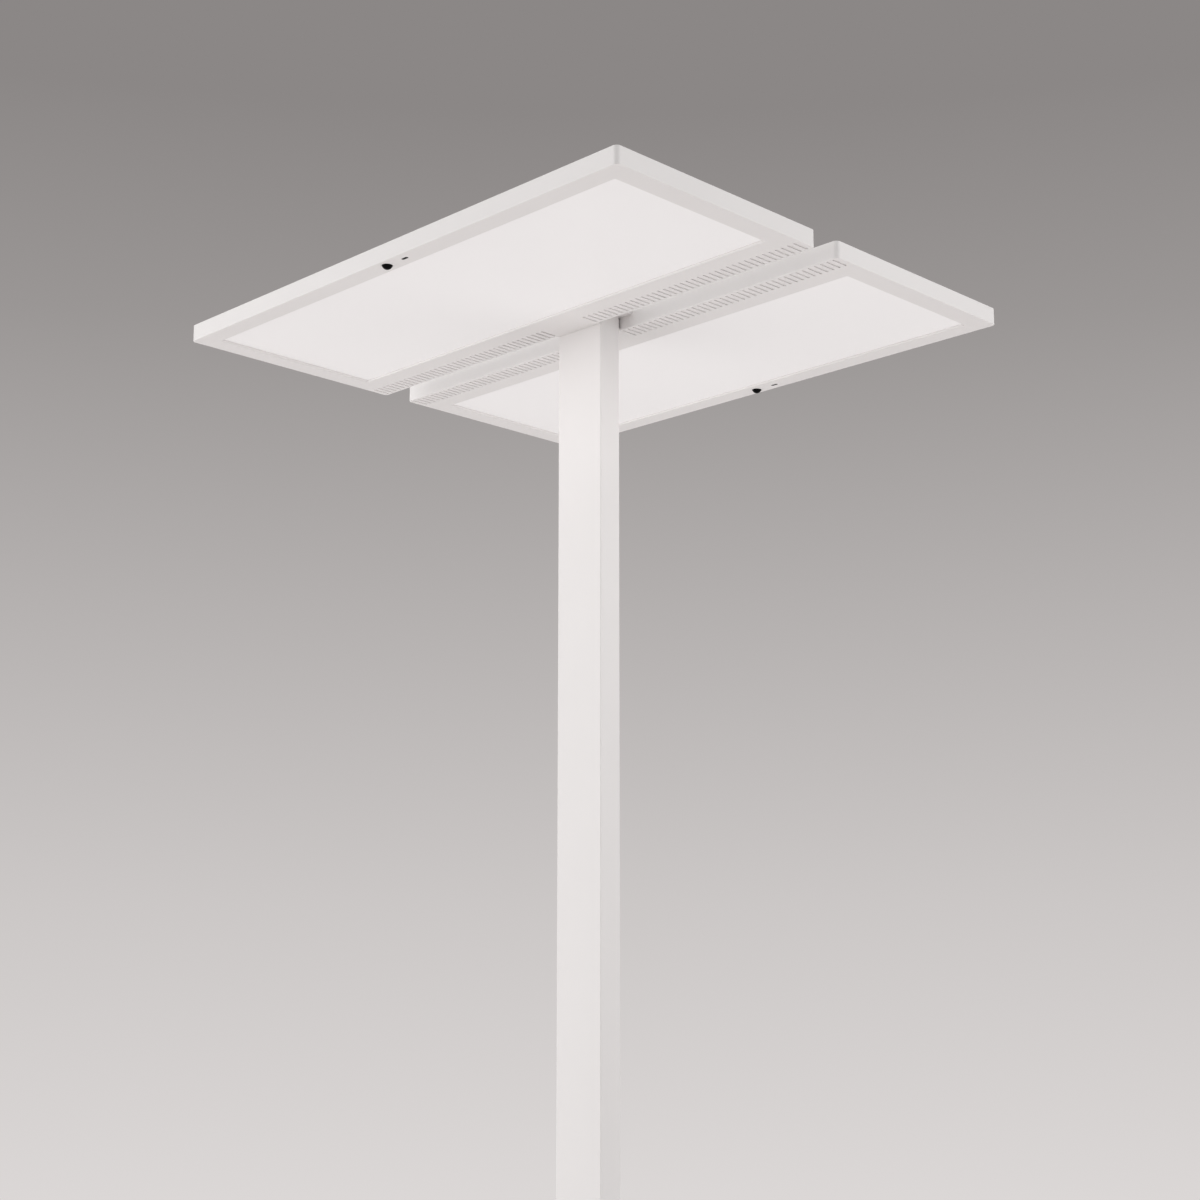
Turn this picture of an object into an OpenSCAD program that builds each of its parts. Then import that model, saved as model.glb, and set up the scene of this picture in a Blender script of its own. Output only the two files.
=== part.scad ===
// Office floor lamp with two flat heads on one upright column.
// X runs along the heads, Y from the front head to the rear head, Z up.
// The origin is on the floor, in the middle of the base.

/* [Lamp] */
// Height from the floor to the top of the heads
lamp_h = 1950; // [1750:10:2150]
// Gap between a part and the edge of the cut-out or recess it drops into
fit_gap = 0.3; // [0.2:0.05:0.5]
// Gap between a screw's shank and the wall of its threaded hole
thread_gap = 0.05; // [0.02:0.01:0.1]

/* [Heads] */
// Length of each head
head_l = 815; // [780:5:950]
// Width of each head, from the gap to its outer side
head_w = 340; // [300:5:400]
// Thickness of each head
head_t = 22.5; // [22:0.5:28]
// Width of the gap between the two heads
head_gap = 41.5; // [40:0.5:60]
// Radius of the upright corners of a head
head_corner_r = 6; // [4:0.5:10]
// Radius of the rounded lower edge of a head
head_edge_r = 1; // [0.5:0.1:1.3]
// Radius of the corners of the boards and of the cut-outs in the column
board_r = 1; // [0.6:0.1:1.2]
// Thickness of the housing's floor and walls
shell_t = 1.5; // [1.4:0.1:2]
// Thickness of the top cover
cover_t = 1.5; // [1:0.1:2]

/* [Light window] */
// Width of the strip between the window and the outer side
outer_strip = 28.5; // [27:0.5:40]
// Width of the strip between the window and each end
end_strip = 31; // [28:0.5:45]
// Width of the strip between the window and the gap, where the slots are
inner_strip = 59; // [57:0.5:75]
// Radius of the window's corners
window_r = 1.2; // [0.8:0.1:3]
// Height of the diffuser above the underside of the head
diffuser_recess = 3; // [2:0.1:4]
// Width of the ledge that the diffuser lies on
ledge_w = 4; // [3:0.1:5]
// Thickness of the wall round the diffuser and light guide
rib_t = 1.2; // [1:0.1:1.5]
// Thickness of the diffuser
diffuser_t = 2; // [1.5:0.1:2.5]
// Thickness of the light guide
guide_t = 4; // [3:0.1:4.5]
// Thickness of the reflector sheet
reflector_t = 0.6; // [0.3:0.1:1]
// Thickness of an LED strip's board
strip_t = 1; // [0.8:0.1:1.2]
// Thickness of the heat plate
heat_plate_t = 1.5; // [1:0.1:2]

/* [Uplight] */
// Length of the window in the top cover
uplight_l = 640; // [500:10:680]
// Width of the window in the top cover
uplight_w = 180; // [120:5:200]
// Thickness of the clear pane's rim under the top cover
pane_rim_t = 1.5; // [1:0.1:2]
// Overlap of the pane's rim under the top cover
pane_rim_w = 5; // [4:0.5:8]
// Radius of the pane's corners
pane_r = 3; // [1:0.5:6]
// Length of each uplight board
board_l = 290; // [200:5:300]
// Width of each uplight board
board_w = 120; // [80:5:150]
// Gap between the two uplight boards
board_gap = 20; // [10:1:24]
// Thickness of the uplight boards
board_t = 1.6; // [1:0.1:2]
// Number of LEDs along an uplight board
led_columns = 8; // [4:1:12]
// Number of LEDs across an uplight board
led_rows = 3; // [2:1:5]
// Side of an LED on the uplight boards
led_w = 3; // [2:0.5:5]
// Height of an LED on the uplight boards
led_h = 0.8; // [0.5:0.1:1.2]

/* [Ventilation slots] */
// Number of slots in each row, on each side of the column
slot_count = 38; // [20:1:38]
// Width of a slot
slot_w = 3.4; // [2:0.1:5]
// Length of a slot
slot_l = 26.5; // [18:0.5:27]
// Distance from the head's inner side to the slots
slot_inset = 3.6; // [2.5:0.1:4]
// Distance from the middle of the head to the first slot's centre line
slot_start = 40; // [38:0.5:44]
// Distance from the end of the head to the last slot's centre line
slot_end = 9.3; // [8:0.1:14]
// Thickness of the dust screen over the slots
screen_t = 0.8; // [0.5:0.1:1]
// Distance that the dust screen reaches past the slots
screen_edge = 1; // [0.6:0.1:1]

/* [Sensors] */
// Distance from the head's outer side to the sensors' centre line
sensor_inset = 12.8; // [12.5:0.1:14]
// Distance from the presence sensor to the light sensor
sensor_spacing = 34; // [28:0.5:45]
// Radius of the presence sensor's lens
lens_r = 6.8; // [5:0.1:7]
// Height of the lens's dome below the head
lens_dome_h = 5; // [2:0.1:6]
// Wall thickness of the lens
lens_t = 1; // [0.6:0.1:1.4]
// Width of the lens's flange inside the head
lens_flange_w = 1; // [0.6:0.1:1.2]
// Length of the light sensor's window
daylight_l = 11; // [8:0.5:14]
// Width of the light sensor's window
daylight_w = 4.2; // [2.5:0.1:5]
// Height of the sensor board above the underside of the head
sensor_board_w = 6; // [5.6:0.1:6.2]
// Radius of the posts under the sensor board
sensor_post_r = 2.4; // [2:0.1:2.6]
// Length of the sensor board's end on a post
sensor_tab_l = 7; // [6:0.1:9]

/* [Drivers] */
// Length of the LED driver
driver_l = 260; // [200:5:280]
// Length of the sensor controller
sensing_unit_l = 180; // [120:5:280]
// Width of the driver and the controller
driver_w = 34; // [28:0.5:34]
// Height of the driver and the controller
driver_h = 14; // [10:0.5:15]
// Distance from the middle of the head to the driver and to the controller
driver_start = 70; // [66:0.5:80]
// Height of the driver above the underside of the head
driver_lift = 4; // [3.5:0.1:4.5]
// Length of a mounting tab
tab_l = 13; // [12:0.5:16]
// Thickness of a mounting tab
tab_t = 1.2; // [0.8:0.1:2]

/* [Column] */
// Width of the column along the heads
column_x = 80; // [76:1:90]
// Depth of the column across the gap
column_y = 35; // [34:0.5:38]
// Radius of the column's upright edges
column_r = 1; // [0.6:0.2:4]
// Wall thickness of the column
column_wall = 2.5; // [2:0.1:3]
// Outer radius of the screw channels in the column's corners
channel_r = 4.5; // [4.2:0.1:5]
// Radius of the bore in a screw channel
channel_bore_r = 2.75; // [2.5:0.05:3]
// Depth to which the screw channels are sunk into the walls
channel_sink = 1; // [0.8:0.1:1.5]

/* [Base] */
// Length of the base plate along X
base_x = 480; // [420:10:600]
// Width of the base plate along Y
base_y = 380; // [320:10:500]
// Thickness of the base plate
base_t = 10; // [9:0.5:15]
// Radius of the base plate's corners
base_r = 20; // [10:1:50]
// Radius of the base plate's rounded upper edge
base_edge_r = 1.5; // [0.5:0.1:3]
// Radius of a glide
glide_r = 15; // [10:1:20]
// Height of a glide under the plate
glide_h = 3; // [2:0.5:6]
// Radius of a glide's stem
glide_stem_r = 4; // [3:0.5:5]
// Length of a glide's stem inside the plate
glide_stem_l = 6; // [4:0.5:7]
// Distance from the plate's sides to a glide's centre
glide_inset = 35; // [25:1:60]

/* [Head carrier] */
// Length of the carrier plate along the heads
carrier_l = 122; // [110:1:126]
// Thickness of the carrier plate
carrier_t = 4; // [3.5:0.1:5]
// Distance that the carrier plate reaches into each head
carrier_reach = 48; // [46:0.5:52]
// Radius of the carrier plate's corners
carrier_r = 8; // [4:0.5:10]
// Radius of the posts that the carrier is screwed to
post_r = 5; // [4.5:0.1:5.2]
// Distance from the middle of the head to the posts
post_x = 27; // [24:0.5:29]
// Distance from the head's inner side to the first post
post_near = 12; // [9:0.5:13]
// Distance from the head's inner side to the second post
post_far = 38; // [37:0.5:40]

/* [Wiring] */
// Radius of the mains cable
mains_r = 3.5; // [3:0.1:4]
// Distance from the middle of the column to the mains cable
mains_side = 7; // [6:0.1:9]
// Distance from the middle of the column to the control cable
control_side = 8; // [6:0.1:9]
// Gap between the two cables and the wall of the column
cable_clear = 3; // [2:0.1:4]
// Radius of the control cable
control_cable_r = 2; // [1.5:0.1:2.5]
// Radius of the cables into the heads
head_cable_r = 3; // [2:0.1:3.3]
// Distance from the middle of the column to the cables into the heads
head_cable_side = 4; // [3.4:0.1:5]
// Outer radius of a cable bush
bush_r = 5.5; // [5:0.1:6]
// Radius of the hole through a cable bush
bush_bore_r = 3.5; // [3.4:0.1:4]
// Width of the rim of a cable bush in the gap
bush_rim_w = 1.5; // [1:0.1:2]
// Length of the junction block
junction_x = 34; // [30:1:40]
// Depth of the junction block
junction_y = 24; // [22:0.5:26]
// Height of the junction block
junction_h = 26; // [20:1:40]
// Distance from the junction block's top down to the underside of the heads
junction_drop = 2; // [0:0.5:20]

/* [Mains inlet] */
// Height of the inlet's centre above the floor
inlet_z = 75; // [60:1:200]
// Width of the inlet's body
inlet_body_x = 27; // [26.6:0.1:30]
// Height of the inlet's body
inlet_body_z = 19.6; // [19:0.1:22]
// Depth of the inlet's body behind the column's face
inlet_depth = 20; // [18:0.5:21]
// Width of the inlet's flange round its body
inlet_flange_w = 2.2; // [1.5:0.1:3]
// Thickness of the inlet's flange
inlet_flange_t = 2.5; // [1.5:0.1:3]
// Radius of the corners of the inlet's flange
inlet_flange_r = 2; // [1:0.1:4]
// Width of the socket in the inlet
socket_x = 24.4; // [24.2:0.1:25]
// Height of the socket in the inlet
socket_z = 16.4; // [16:0.1:17]
// Depth of the socket from the flange's face
socket_depth = 16.5; // [15:0.5:18]
// Bevel of the socket's two lower corners
socket_bevel = 4; // [2:0.5:5]
// Distance between the two outer contact pins
pin_spacing = 14; // [13.8:0.1:14.4]
// Thickness of a contact pin
pin_x = 2; // [1.6:0.1:2]
// Height of a contact pin
pin_z = 4; // [3:0.1:4.5]
// Length of a contact pin
pin_l = 13.5; // [10:0.5:14]
// Drop of the middle pin below the other two, on the bevelled side
pin_step = 4; // [3:0.1:5]

/* [Control panel] */
// Height of the panel's centre above the floor
panel_z = 1080; // [900:10:1200]
// Width of the panel's face
panel_x = 36; // [34:0.5:44]
// Height of the panel's face
panel_h = 92; // [88:1:110]
// Thickness of the panel's face
panel_t = 2; // [1.5:0.1:3]
// Radius of the corners of the panel's face
panel_r = 5; // [3:0.5:8]
// Width of the panel's body inside the column
panel_body_x = 26; // [24:0.5:30]
// Height of the panel's body inside the column
panel_body_z = 70; // [68:1:76]
// Depth of the panel's body behind the column's face
panel_depth = 18; // [18:0.1:18.6]
// Side wall of the panel's body
panel_wall = 2; // [1.5:0.1:2.5]
// End wall of the panel's body, where the board is screwed on
panel_end = 7; // [6:0.5:8]
// Thickness of the control board
control_board_t = 1.5; // [1:0.1:1.6]
// Distance between the centres of the two buttons
button_spacing = 30; // [24:1:32]
// Radius of a button's cap
button_r = 7; // [6:0.1:7.5]
// Height of a button above the panel's face
button_proud = 1.5; // [1.3:0.1:2.5]
// Thickness of a button's cap
button_cap_t = 4.5; // [3:0.1:5]
// Radius of a button's stem
button_stem_r = 3; // [2:0.1:3.5]
// Running gap between a button's stem and its guide
button_run_gap = 0.05; // [0.02:0.01:0.1]
// Travel of a button
button_travel = 1.2; // [0.8:0.1:1.3]
// Depth of the guide's front face behind the column's face
guide_start = 7; // [6:0.1:7.5]
// Length of the guide that a button's stem slides in
guide_l = 4; // [3:0.1:4.4]
// Outer radius of a button's stop collar
collar_r = 4.2; // [4:0.1:5]
// Thickness of a button's stop collar
collar_t = 1; // [0.8:0.1:1.2]
// Outer radius of a button's spring
spring_r = 5.5; // [5:0.1:5.8]
// Width of the ring that the spring's wire winds in
spring_w = 1; // [0.6:0.1:1.2]
// Depth of the arrow sunk into a button's face
arrow_depth = 0.3; // [0.2:0.05:0.5]
// Radius of the arrow on a button's face
arrow_r = 2.6; // [2:0.1:4]
// Side of a push switch
switch_w = 6; // [5:0.5:7]
// Height of a push switch's case
switch_h = 3.4; // [3:0.1:3.5]
// Radius of a push switch's plunger
plunger_r = 1.7; // [1:0.1:2]

/* [Screws] */
// Shank radius of the screws in the column's channels
m6_r = 2.7; // [2.4:0.05:2.9]
// Length of the base screws
base_screw_l = 40; // [30:1:60]
// Length of the carrier screws
carrier_screw_l = 25; // [16:1:40]
// Radius of the heads of the screws in the column's channels
m6_head_r = 5.6; // [5:0.1:6]
// Height of the heads of the screws in the column's channels
m6_head_h = 3; // [2.5:0.1:3.3]
// Shank radius of the screws that hold the heads to the carrier
m5_r = 2.1; // [1.8:0.05:2.5]
// Length of the screws that hold the heads to the carrier
m5_l = 14; // [10:1:16]
// Radius of the heads of the screws that hold the heads to the carrier
m5_head_r = 4.6; // [4:0.1:5]
// Height of the heads of the screws that hold the heads to the carrier
m5_head_h = 2.6; // [2:0.1:3]
// Shank radius of the small screws
m3_r = 1.25; // [1:0.05:1.5]
// Radius of the heads of the small screws
m3_head_r = 2.6; // [2.2:0.1:2.8]
// Height of the heads of the small screws
m3_head_h = 1.4; // [1:0.1:1.45]
// Length of the small screws under the head
m3_l = 5; // [3.5:0.1:6]
// Radius of the posts for the small screws
m3_post_r = 3.5; // [3.2:0.1:3.6]

/* [Hidden] */
$fn = 48;

white = [0.90, 0.89, 0.88];
opal = [0.93, 0.92, 0.91];
black = [0.06, 0.06, 0.07];
steel = [0.62, 0.62, 0.64];
alu = [0.74, 0.75, 0.77];
board_green = [0.16, 0.40, 0.24];
cable_grey = [0.32, 0.32, 0.34];

over = 1; // how far a cut runs past the surface it opens
key_r = 0.8; // radius of a screw's key recess, as a share of its shank's
key_depth = 0.6; // depth of a key recess, as a share of the screw's head

// Heights above the floor
head_z = lamp_h - head_t;
base_z = glide_h;
column_z = base_z + base_t;

// Heights inside a head, above its underside
carrier_w = head_t - cover_t - carrier_t;
cover_w = head_t - cover_t;
guide_w = diffuser_recess + diffuser_t;
reflector_w = guide_w + guide_t;
heat_plate_w = reflector_w + reflector_t;
uplight_board_z = heat_plate_w + heat_plate_t;
pane_w = cover_w - pane_rim_t;
column_top_z = head_z + carrier_w;
column_h = column_top_z - column_z;

// Places across a head, measured from its inner side
window_near = inner_strip;
window_far = head_w - outer_strip;
window_l = head_l - 2 * end_strip;
window_d = window_far - window_near;
window_mid = (window_near + window_far) / 2;
stack_l = window_l + 2 * ledge_w;
stack_d = window_d + 2 * ledge_w;
pocket_l = stack_l + 2 * fit_gap;
pocket_d = stack_d + 2 * (strip_t + fit_gap);
rib_l = pocket_l + 2 * rib_t;
rib_d = pocket_d + 2 * rib_t;
sensor_v = head_w - sensor_inset;
slot_pitch = (head_l / 2 - slot_end - slot_start) / (slot_count - 1);

// Small posts inside a head, as [x, distance from the inner side]
plate_post_d = rib_d / 2 + 0.8 * m3_post_r;
plate_post_pitch = 0.28 * head_l;
plate_posts = [
    for (i = [-1.5 : 1.5], side = [-1, 1])
        [i * plate_post_pitch, window_mid + side * plate_post_d]
];
heat_plate_d = 2 * plate_post_d + 2 * m3_post_r;
cover_post_inset = shell_t + 1.6 * m3_post_r;
cover_post_x = head_l / 2 - cover_post_inset;
cover_post_out = head_w - cover_post_inset;
cover_post_in = slot_inset + slot_l + 1.3 * m3_post_r;
cover_posts = [
    [-cover_post_x, cover_post_in],
    [cover_post_x, cover_post_in],
    [-cover_post_x, cover_post_out],
    [cover_post_x, cover_post_out],
    [-head_l / 6, cover_post_out],
    [head_l / 6, cover_post_out]
];
driver_v = slot_inset + slot_l / 2 + driver_w / 4;
tab_v = cover_post_in;
tab_w = 2.4 * m3_post_r;
driver_posts = [
    [driver_start - tab_l / 2, tab_v],
    [driver_start + driver_l + tab_l / 2, tab_v],
    [-driver_start + tab_l / 2, tab_v],
    [-driver_start - sensing_unit_l - tab_l / 2, tab_v]
];
sensor_board_l = sensor_spacing + daylight_l / 2 + lens_r + lens_flange_w + 2 * sensor_tab_l;
sensor_board_x = sensor_spacing / 2 + daylight_l / 4 - (lens_r + lens_flange_w) / 2;
sensor_board_d = 2 * lens_r;
sensor_posts = [
    [sensor_board_x - sensor_board_l / 2 + sensor_tab_l / 2, sensor_v],
    [sensor_board_x + sensor_board_l / 2 - sensor_tab_l / 2, sensor_v]
];
carrier_posts = [for (x = [-post_x, post_x], v = [post_near, post_far]) [x, v]];

// Column and its fittings
channel_x = column_x / 2 - column_wall - channel_r + channel_sink;
channel_y = column_y / 2 - column_wall - channel_r + channel_sink;
column_face = column_y / 2;
column_inside = column_face - column_wall;
bush_w = (shell_t + carrier_w) / 2;
bush_z = head_z + bush_w;
slit = (head_gap - column_y) / 2;
junction_top = head_z - junction_drop;
junction_mid_y = -column_inside + junction_y / 2;
cable_y = -column_inside + mains_r + cable_clear;
panel_screw_z = (panel_h + panel_body_z) / 4;
board_screw_z = (panel_body_z - panel_end) / 2;
glide_x = base_x / 2 - glide_inset;
glide_y = base_y / 2 - glide_inset;

// ---------------------------------------------------------------- shapes

// Rectangle with round corners, centred
module rounded_rect(x, y, r) {
    square([x - 2 * r, y], center = true);
    square([x, y - 2 * r], center = true);
    for (sx = [-1, 1], sy = [-1, 1])
        translate([sx * (x / 2 - r), sy * (y / 2 - r)])
            circle(r);
}

// Plate with round corners, standing on z = 0
module plate(x, y, r, t) {
    linear_extrude(t)
        rounded_rect(x, y, r);
}

// Quarter of a disc, to the right of the axis and below it
module quarter_disc(r) {
    intersection() {
        circle(r);
        translate([0, -r])
            square(r);
    }
}

// Plate whose lower edge is rounded all round with the radius e
module soft_plate(x, y, r, t, e) {
    plate(x - 2 * e, y - 2 * e, r - e, t);
    translate([0, 0, e])
        plate(x, y, r, t - e);
    for (turn = [0, 180])
        rotate(turn) {
            translate([x / 2 - e, 0, e])
                rotate([90, 0, 0])
                    linear_extrude(y - 2 * r, center = true)
                        quarter_disc(e);
            translate([x / 2 - r, y / 2 - r, e])
                rotate_extrude(angle = 90)
                    translate([r - e, 0])
                        quarter_disc(e);
            rotate(90)
                translate([y / 2 - e, 0, e])
                    rotate([90, 0, 0])
                        linear_extrude(x - 2 * r, center = true)
                            quarter_disc(e);
            rotate(90)
                translate([y / 2 - r, x / 2 - r, e])
                    rotate_extrude(angle = 90)
                        translate([r - e, 0])
                            quarter_disc(e);
        }
}

// Slot with round ends that runs along Y, centred
module slot_outline(l, w) {
    square([w, l - w], center = true);
    for (side = [-1, 1])
        translate([0, side * (l - w) / 2])
            circle(w / 2);
}

// Screw with a sunk head; the head's top is at z = 0 and the shank points down
module sunk_screw(shank_r, l, head_r, head_h) {
    difference() {
        union() {
            translate([0, 0, -head_h])
                cylinder(r1 = shank_r, r2 = head_r, h = head_h);
            translate([0, 0, -l])
                cylinder(r = shank_r, h = l - head_h / 2);
        }
        translate([0, 0, -head_h * key_depth])
            cylinder(r = shank_r * key_r, h = head_h, $fn = 6);
    }
}

// Hole for a sunk screw, cut down from z = 0 through a part of thickness t
module sunk_hole(shank_r, t, head_r, head_h) {
    translate([0, 0, -head_h])
        cylinder(r1 = shank_r, r2 = head_r, h = head_h);
    translate([0, 0, -t - over])
        cylinder(r = shank_r + thread_gap, h = t + over);
}

// Screw with a raised head; the head rests on z = 0
module pan_screw(shank_r, l, head_r, head_h) {
    difference() {
        union() {
            cylinder(r = head_r, h = head_h);
            translate([0, 0, -l])
                cylinder(r = shank_r, h = l);
        }
        translate([0, 0, head_h * (1 - key_depth)])
            cylinder(r = shank_r * key_r, h = head_h, $fn = 6);
    }
}

// Round bar between two points that share two of their coordinates
module bar(from, to, r) {
    step = to - from;
    translate(from)
        rotate(step[0] != 0 ? [0, step[0] > 0 ? 90 : -90, 0]
            : step[1] != 0 ? [step[1] > 0 ? -90 : 90, 0, 0]
            : [step[2] > 0 ? 0 : 180, 0, 0])
            cylinder(r = r, h = norm(step));
}

// Cable through a list of points, with a round elbow at each bend
module cable(points, r) {
    for (i = [0 : len(points) - 2])
        bar(points[i], points[i + 1], r);
    for (i = [1 : len(points) - 2])
        translate(points[i])
            sphere(r);
}

// ---------------------------------------------------------------- places

// A head's own frame: x along the head, y from its inner side outwards, z from its underside up
module rear() {
    translate([0, head_gap / 2, head_z])
        children();
}

module front() {
    mirror([0, 1, 0])
        rear()
            children();
}

module both_heads() {
    front()
        children();
    rear()
        children();
}

module at(places, z) {
    for (p = places)
        translate([p[0], p[1], z])
            children();
}

// The four screw channels of the column
module at_channels(z) {
    for (sx = [-1, 1], sy = [-1, 1])
        translate([sx * channel_x, sy * channel_y, z])
            children();
}

// Frame of the column's rear face at the height h: x sideways, y up, z into the column
module into_column(h) {
    translate([0, column_face, h])
        rotate([90, 0, 0])
            children();
}

// The two buttons' places in the panel's frame
module at_button(side, depth) {
    translate([0, side * button_spacing / 2, depth])
        children();
}

// ---------------------------------------------------------------- base

module base_plate() {
    color(white)
    difference() {
        translate([0, 0, base_z + base_t])
            mirror([0, 0, 1])
                soft_plate(base_x, base_y, base_r, base_t, base_edge_r);
        for (sx = [-1, 1], sy = [-1, 1])
            translate([sx * glide_x, sy * glide_y, base_z - over])
                cylinder(r = glide_stem_r + thread_gap, h = glide_stem_l + over);
        at_channels(base_z)
            mirror([0, 0, 1])
                sunk_hole(m6_r, base_t, m6_head_r, m6_head_h);
    }
}

module base_glides() {
    color(black)
    for (sx = [-1, 1], sy = [-1, 1])
        translate([sx * glide_x, sy * glide_y, 0]) {
            cylinder(r = glide_r, h = glide_h);
            cylinder(r = glide_stem_r, h = glide_h + glide_stem_l);
        }
}

module base_screws() {
    color(steel)
    at_channels(base_z)
        mirror([0, 0, 1])
            sunk_screw(m6_r, base_screw_l, m6_head_r, m6_head_h);
}

// ---------------------------------------------------------------- column

module column() {
    color(white)
    difference() {
        union() {
            translate([0, 0, column_z])
                linear_extrude(column_h)
                    difference() {
                        rounded_rect(column_x, column_y, column_r);
                        square([column_x - 2 * column_wall, column_y - 2 * column_wall], center = true);
                    }
            at_channels(column_z)
                cylinder(r = channel_r, h = column_h);
        }
        at_channels(column_z - over)
            cylinder(r = channel_bore_r, h = column_h + 2 * over);
        into_column(inlet_z)
            translate([0, 0, -over])
                plate(inlet_body_x + 2 * fit_gap, inlet_body_z + 2 * fit_gap,
                    board_r, column_wall + 2 * over);
        into_column(panel_z) {
            translate([0, 0, -over])
                plate(panel_body_x + 2 * fit_gap, panel_body_z + 2 * fit_gap,
                    board_r, column_wall + 2 * over);
            for (side = [-1, 1])
                translate([0, side * panel_screw_z, -over])
                    cylinder(r = m3_r + thread_gap, h = column_wall + 2 * over);
        }
        translate([0, 0, bush_z])
            rotate([90, 0, 0])
                cylinder(r = bush_r, h = column_y + 2 * over, center = true);
    }
}

// ---------------------------------------------------------------- mains inlet

module mains_inlet() {
    color(black)
    into_column(inlet_z)
        difference() {
            union() {
                translate([0, 0, -inlet_flange_t])
                    plate(inlet_body_x + 2 * inlet_flange_w, inlet_body_z + 2 * inlet_flange_w,
                        inlet_flange_r, inlet_flange_t);
                plate(inlet_body_x, inlet_body_z, board_r, inlet_depth);
            }
            translate([0, 0, -inlet_flange_t - over])
                linear_extrude(socket_depth + over)
                    socket_outline();
        }
}

// Socket with its two lower corners bevelled
module socket_outline() {
    x = socket_x / 2;
    y = socket_z / 2;
    polygon([[-x, y], [x, y], [x, -y + socket_bevel], [x - socket_bevel, -y],
        [-x + socket_bevel, -y], [-x, -y + socket_bevel]]);
}

module inlet_pins() {
    color(steel)
    into_column(inlet_z)
        for (i = [-1, 0, 1])
            translate([i * pin_spacing / 2, (i == 0 ? -pin_step : 0) + pin_step / 2,
                socket_depth - inlet_flange_t - pin_l / 2])
                cube([pin_x, pin_z, pin_l], center = true);
}

// ---------------------------------------------------------------- wiring

module mains_cable() {
    color(cable_grey)
    cable([
        [-mains_side, column_face - inlet_depth, inlet_z],
        [-mains_side, cable_y, inlet_z],
        [-mains_side, cable_y, junction_top - junction_h]
    ], mains_r);
}

module control_cable() {
    color(cable_grey)
    cable([
        [control_side, column_face - panel_depth - control_board_t, panel_z],
        [control_side, cable_y, panel_z],
        [control_side, cable_y, junction_top - junction_h]
    ], control_cable_r);
}

module junction_block() {
    color(opal)
    translate([0, junction_mid_y, junction_top - junction_h / 2])
        cube([junction_x, junction_y, junction_h], center = true);
}

module head_cables() {
    color(cable_grey)
    for (side = [-1, 1]) {
        fork = [0, side * (head_gap / 2 + (post_near + post_far) / 2), bush_z];
        cable([
            [0, side * head_cable_side, junction_top],
            [0, side * head_cable_side, bush_z],
            fork,
            fork + [driver_start, 0, 0]
        ], head_cable_r);
        bar(fork, fork - [driver_start, 0, 0], head_cable_r);
    }
}

// Bush that carries a cable from the column across the slit into a head
module cable_bushes() {
    color(black)
    for (side = [-1, 1])
        translate([0, 0, bush_z])
            rotate([-90 * side, 0, 0])
                difference() {
                    union() {
                        translate([0, 0, column_inside])
                            cylinder(r = bush_r, h = column_wall + slit + shell_t);
                        translate([0, 0, column_face])
                            cylinder(r = bush_r + bush_rim_w, h = slit);
                    }
                    translate([0, 0, column_inside - over])
                        cylinder(r = bush_bore_r, h = column_wall + slit + shell_t + 2 * over);
                }
}

// ---------------------------------------------------------------- control panel

module control_panel() {
    pocket_z = guide_start + guide_l;
    color(white)
    into_column(panel_z)
        difference() {
            union() {
                translate([0, 0, -panel_t])
                    plate(panel_x, panel_h, panel_r, panel_t);
                plate(panel_body_x, panel_body_z, board_r, panel_depth);
            }
            translate([0, 0, pocket_z])
                linear_extrude(panel_depth)
                    square([panel_body_x - 2 * panel_wall, panel_body_z - 2 * panel_end], center = true);
            for (side = [-1, 1]) {
                at_button(side, -panel_t - over)
                    cylinder(r = button_r + fit_gap, h = panel_t + guide_start + over);
                at_button(side, 0)
                    cylinder(r = button_stem_r + button_run_gap, h = pocket_z + over);
                translate([0, side * panel_screw_z, -panel_t - over])
                    cylinder(r = m3_r + thread_gap, h = panel_t + 2 * over);
                translate([0, side * board_screw_z, panel_depth - m3_l])
                    cylinder(r = m3_r + thread_gap, h = m3_l + over);
            }
        }
}

module control_board() {
    color(board_green)
    into_column(panel_z)
        translate([0, 0, panel_depth])
            difference() {
                plate(panel_body_x, panel_body_z, board_r, control_board_t);
                for (side = [-1, 1])
                    translate([0, side * board_screw_z, -over])
                        cylinder(r = m3_r + thread_gap, h = control_board_t + 2 * over);
            }
}

module push_switches() {
    plunger_top = guide_start + guide_l + collar_t + button_travel + 2 * fit_gap;
    color(black)
    into_column(panel_z)
        for (side = [-1, 1]) {
            at_button(side, panel_depth - switch_h / 2)
                cube([switch_w, switch_w, switch_h], center = true);
            at_button(side, plunger_top)
                cylinder(r = plunger_r, h = panel_depth - plunger_top - switch_h / 2);
        }
}

module panel_screws() {
    color(steel)
    into_column(panel_z)
        for (side = [-1, 1])
            translate([0, side * panel_screw_z, -panel_t])
                mirror([0, 0, 1])
                    pan_screw(m3_r, panel_t + column_wall, m3_head_r, m3_head_h);
}

// Cap, stem and stop collar of a push button; the arrow points up or down
module button(side) {
    cap_front = -panel_t - button_proud;
    collar_z = guide_start + guide_l + fit_gap;
    color(opal)
    into_column(panel_z)
        at_button(side, 0)
            difference() {
                union() {
                    translate([0, 0, cap_front])
                        cylinder(r = button_r, h = button_cap_t);
                    translate([0, 0, cap_front + button_cap_t / 2])
                        cylinder(r = button_stem_r, h = collar_z - cap_front - button_cap_t / 2);
                    translate([0, 0, collar_z])
                        cylinder(r = collar_r, h = collar_t);
                }
                translate([0, 0, cap_front - over])
                    linear_extrude(arrow_depth + over)
                        rotate(side * 90)
                            circle(arrow_r, $fn = 3);
            }
}

module brighter_button() {
    button(1);
}

module dimmer_button() {
    button(-1);
}

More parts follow.
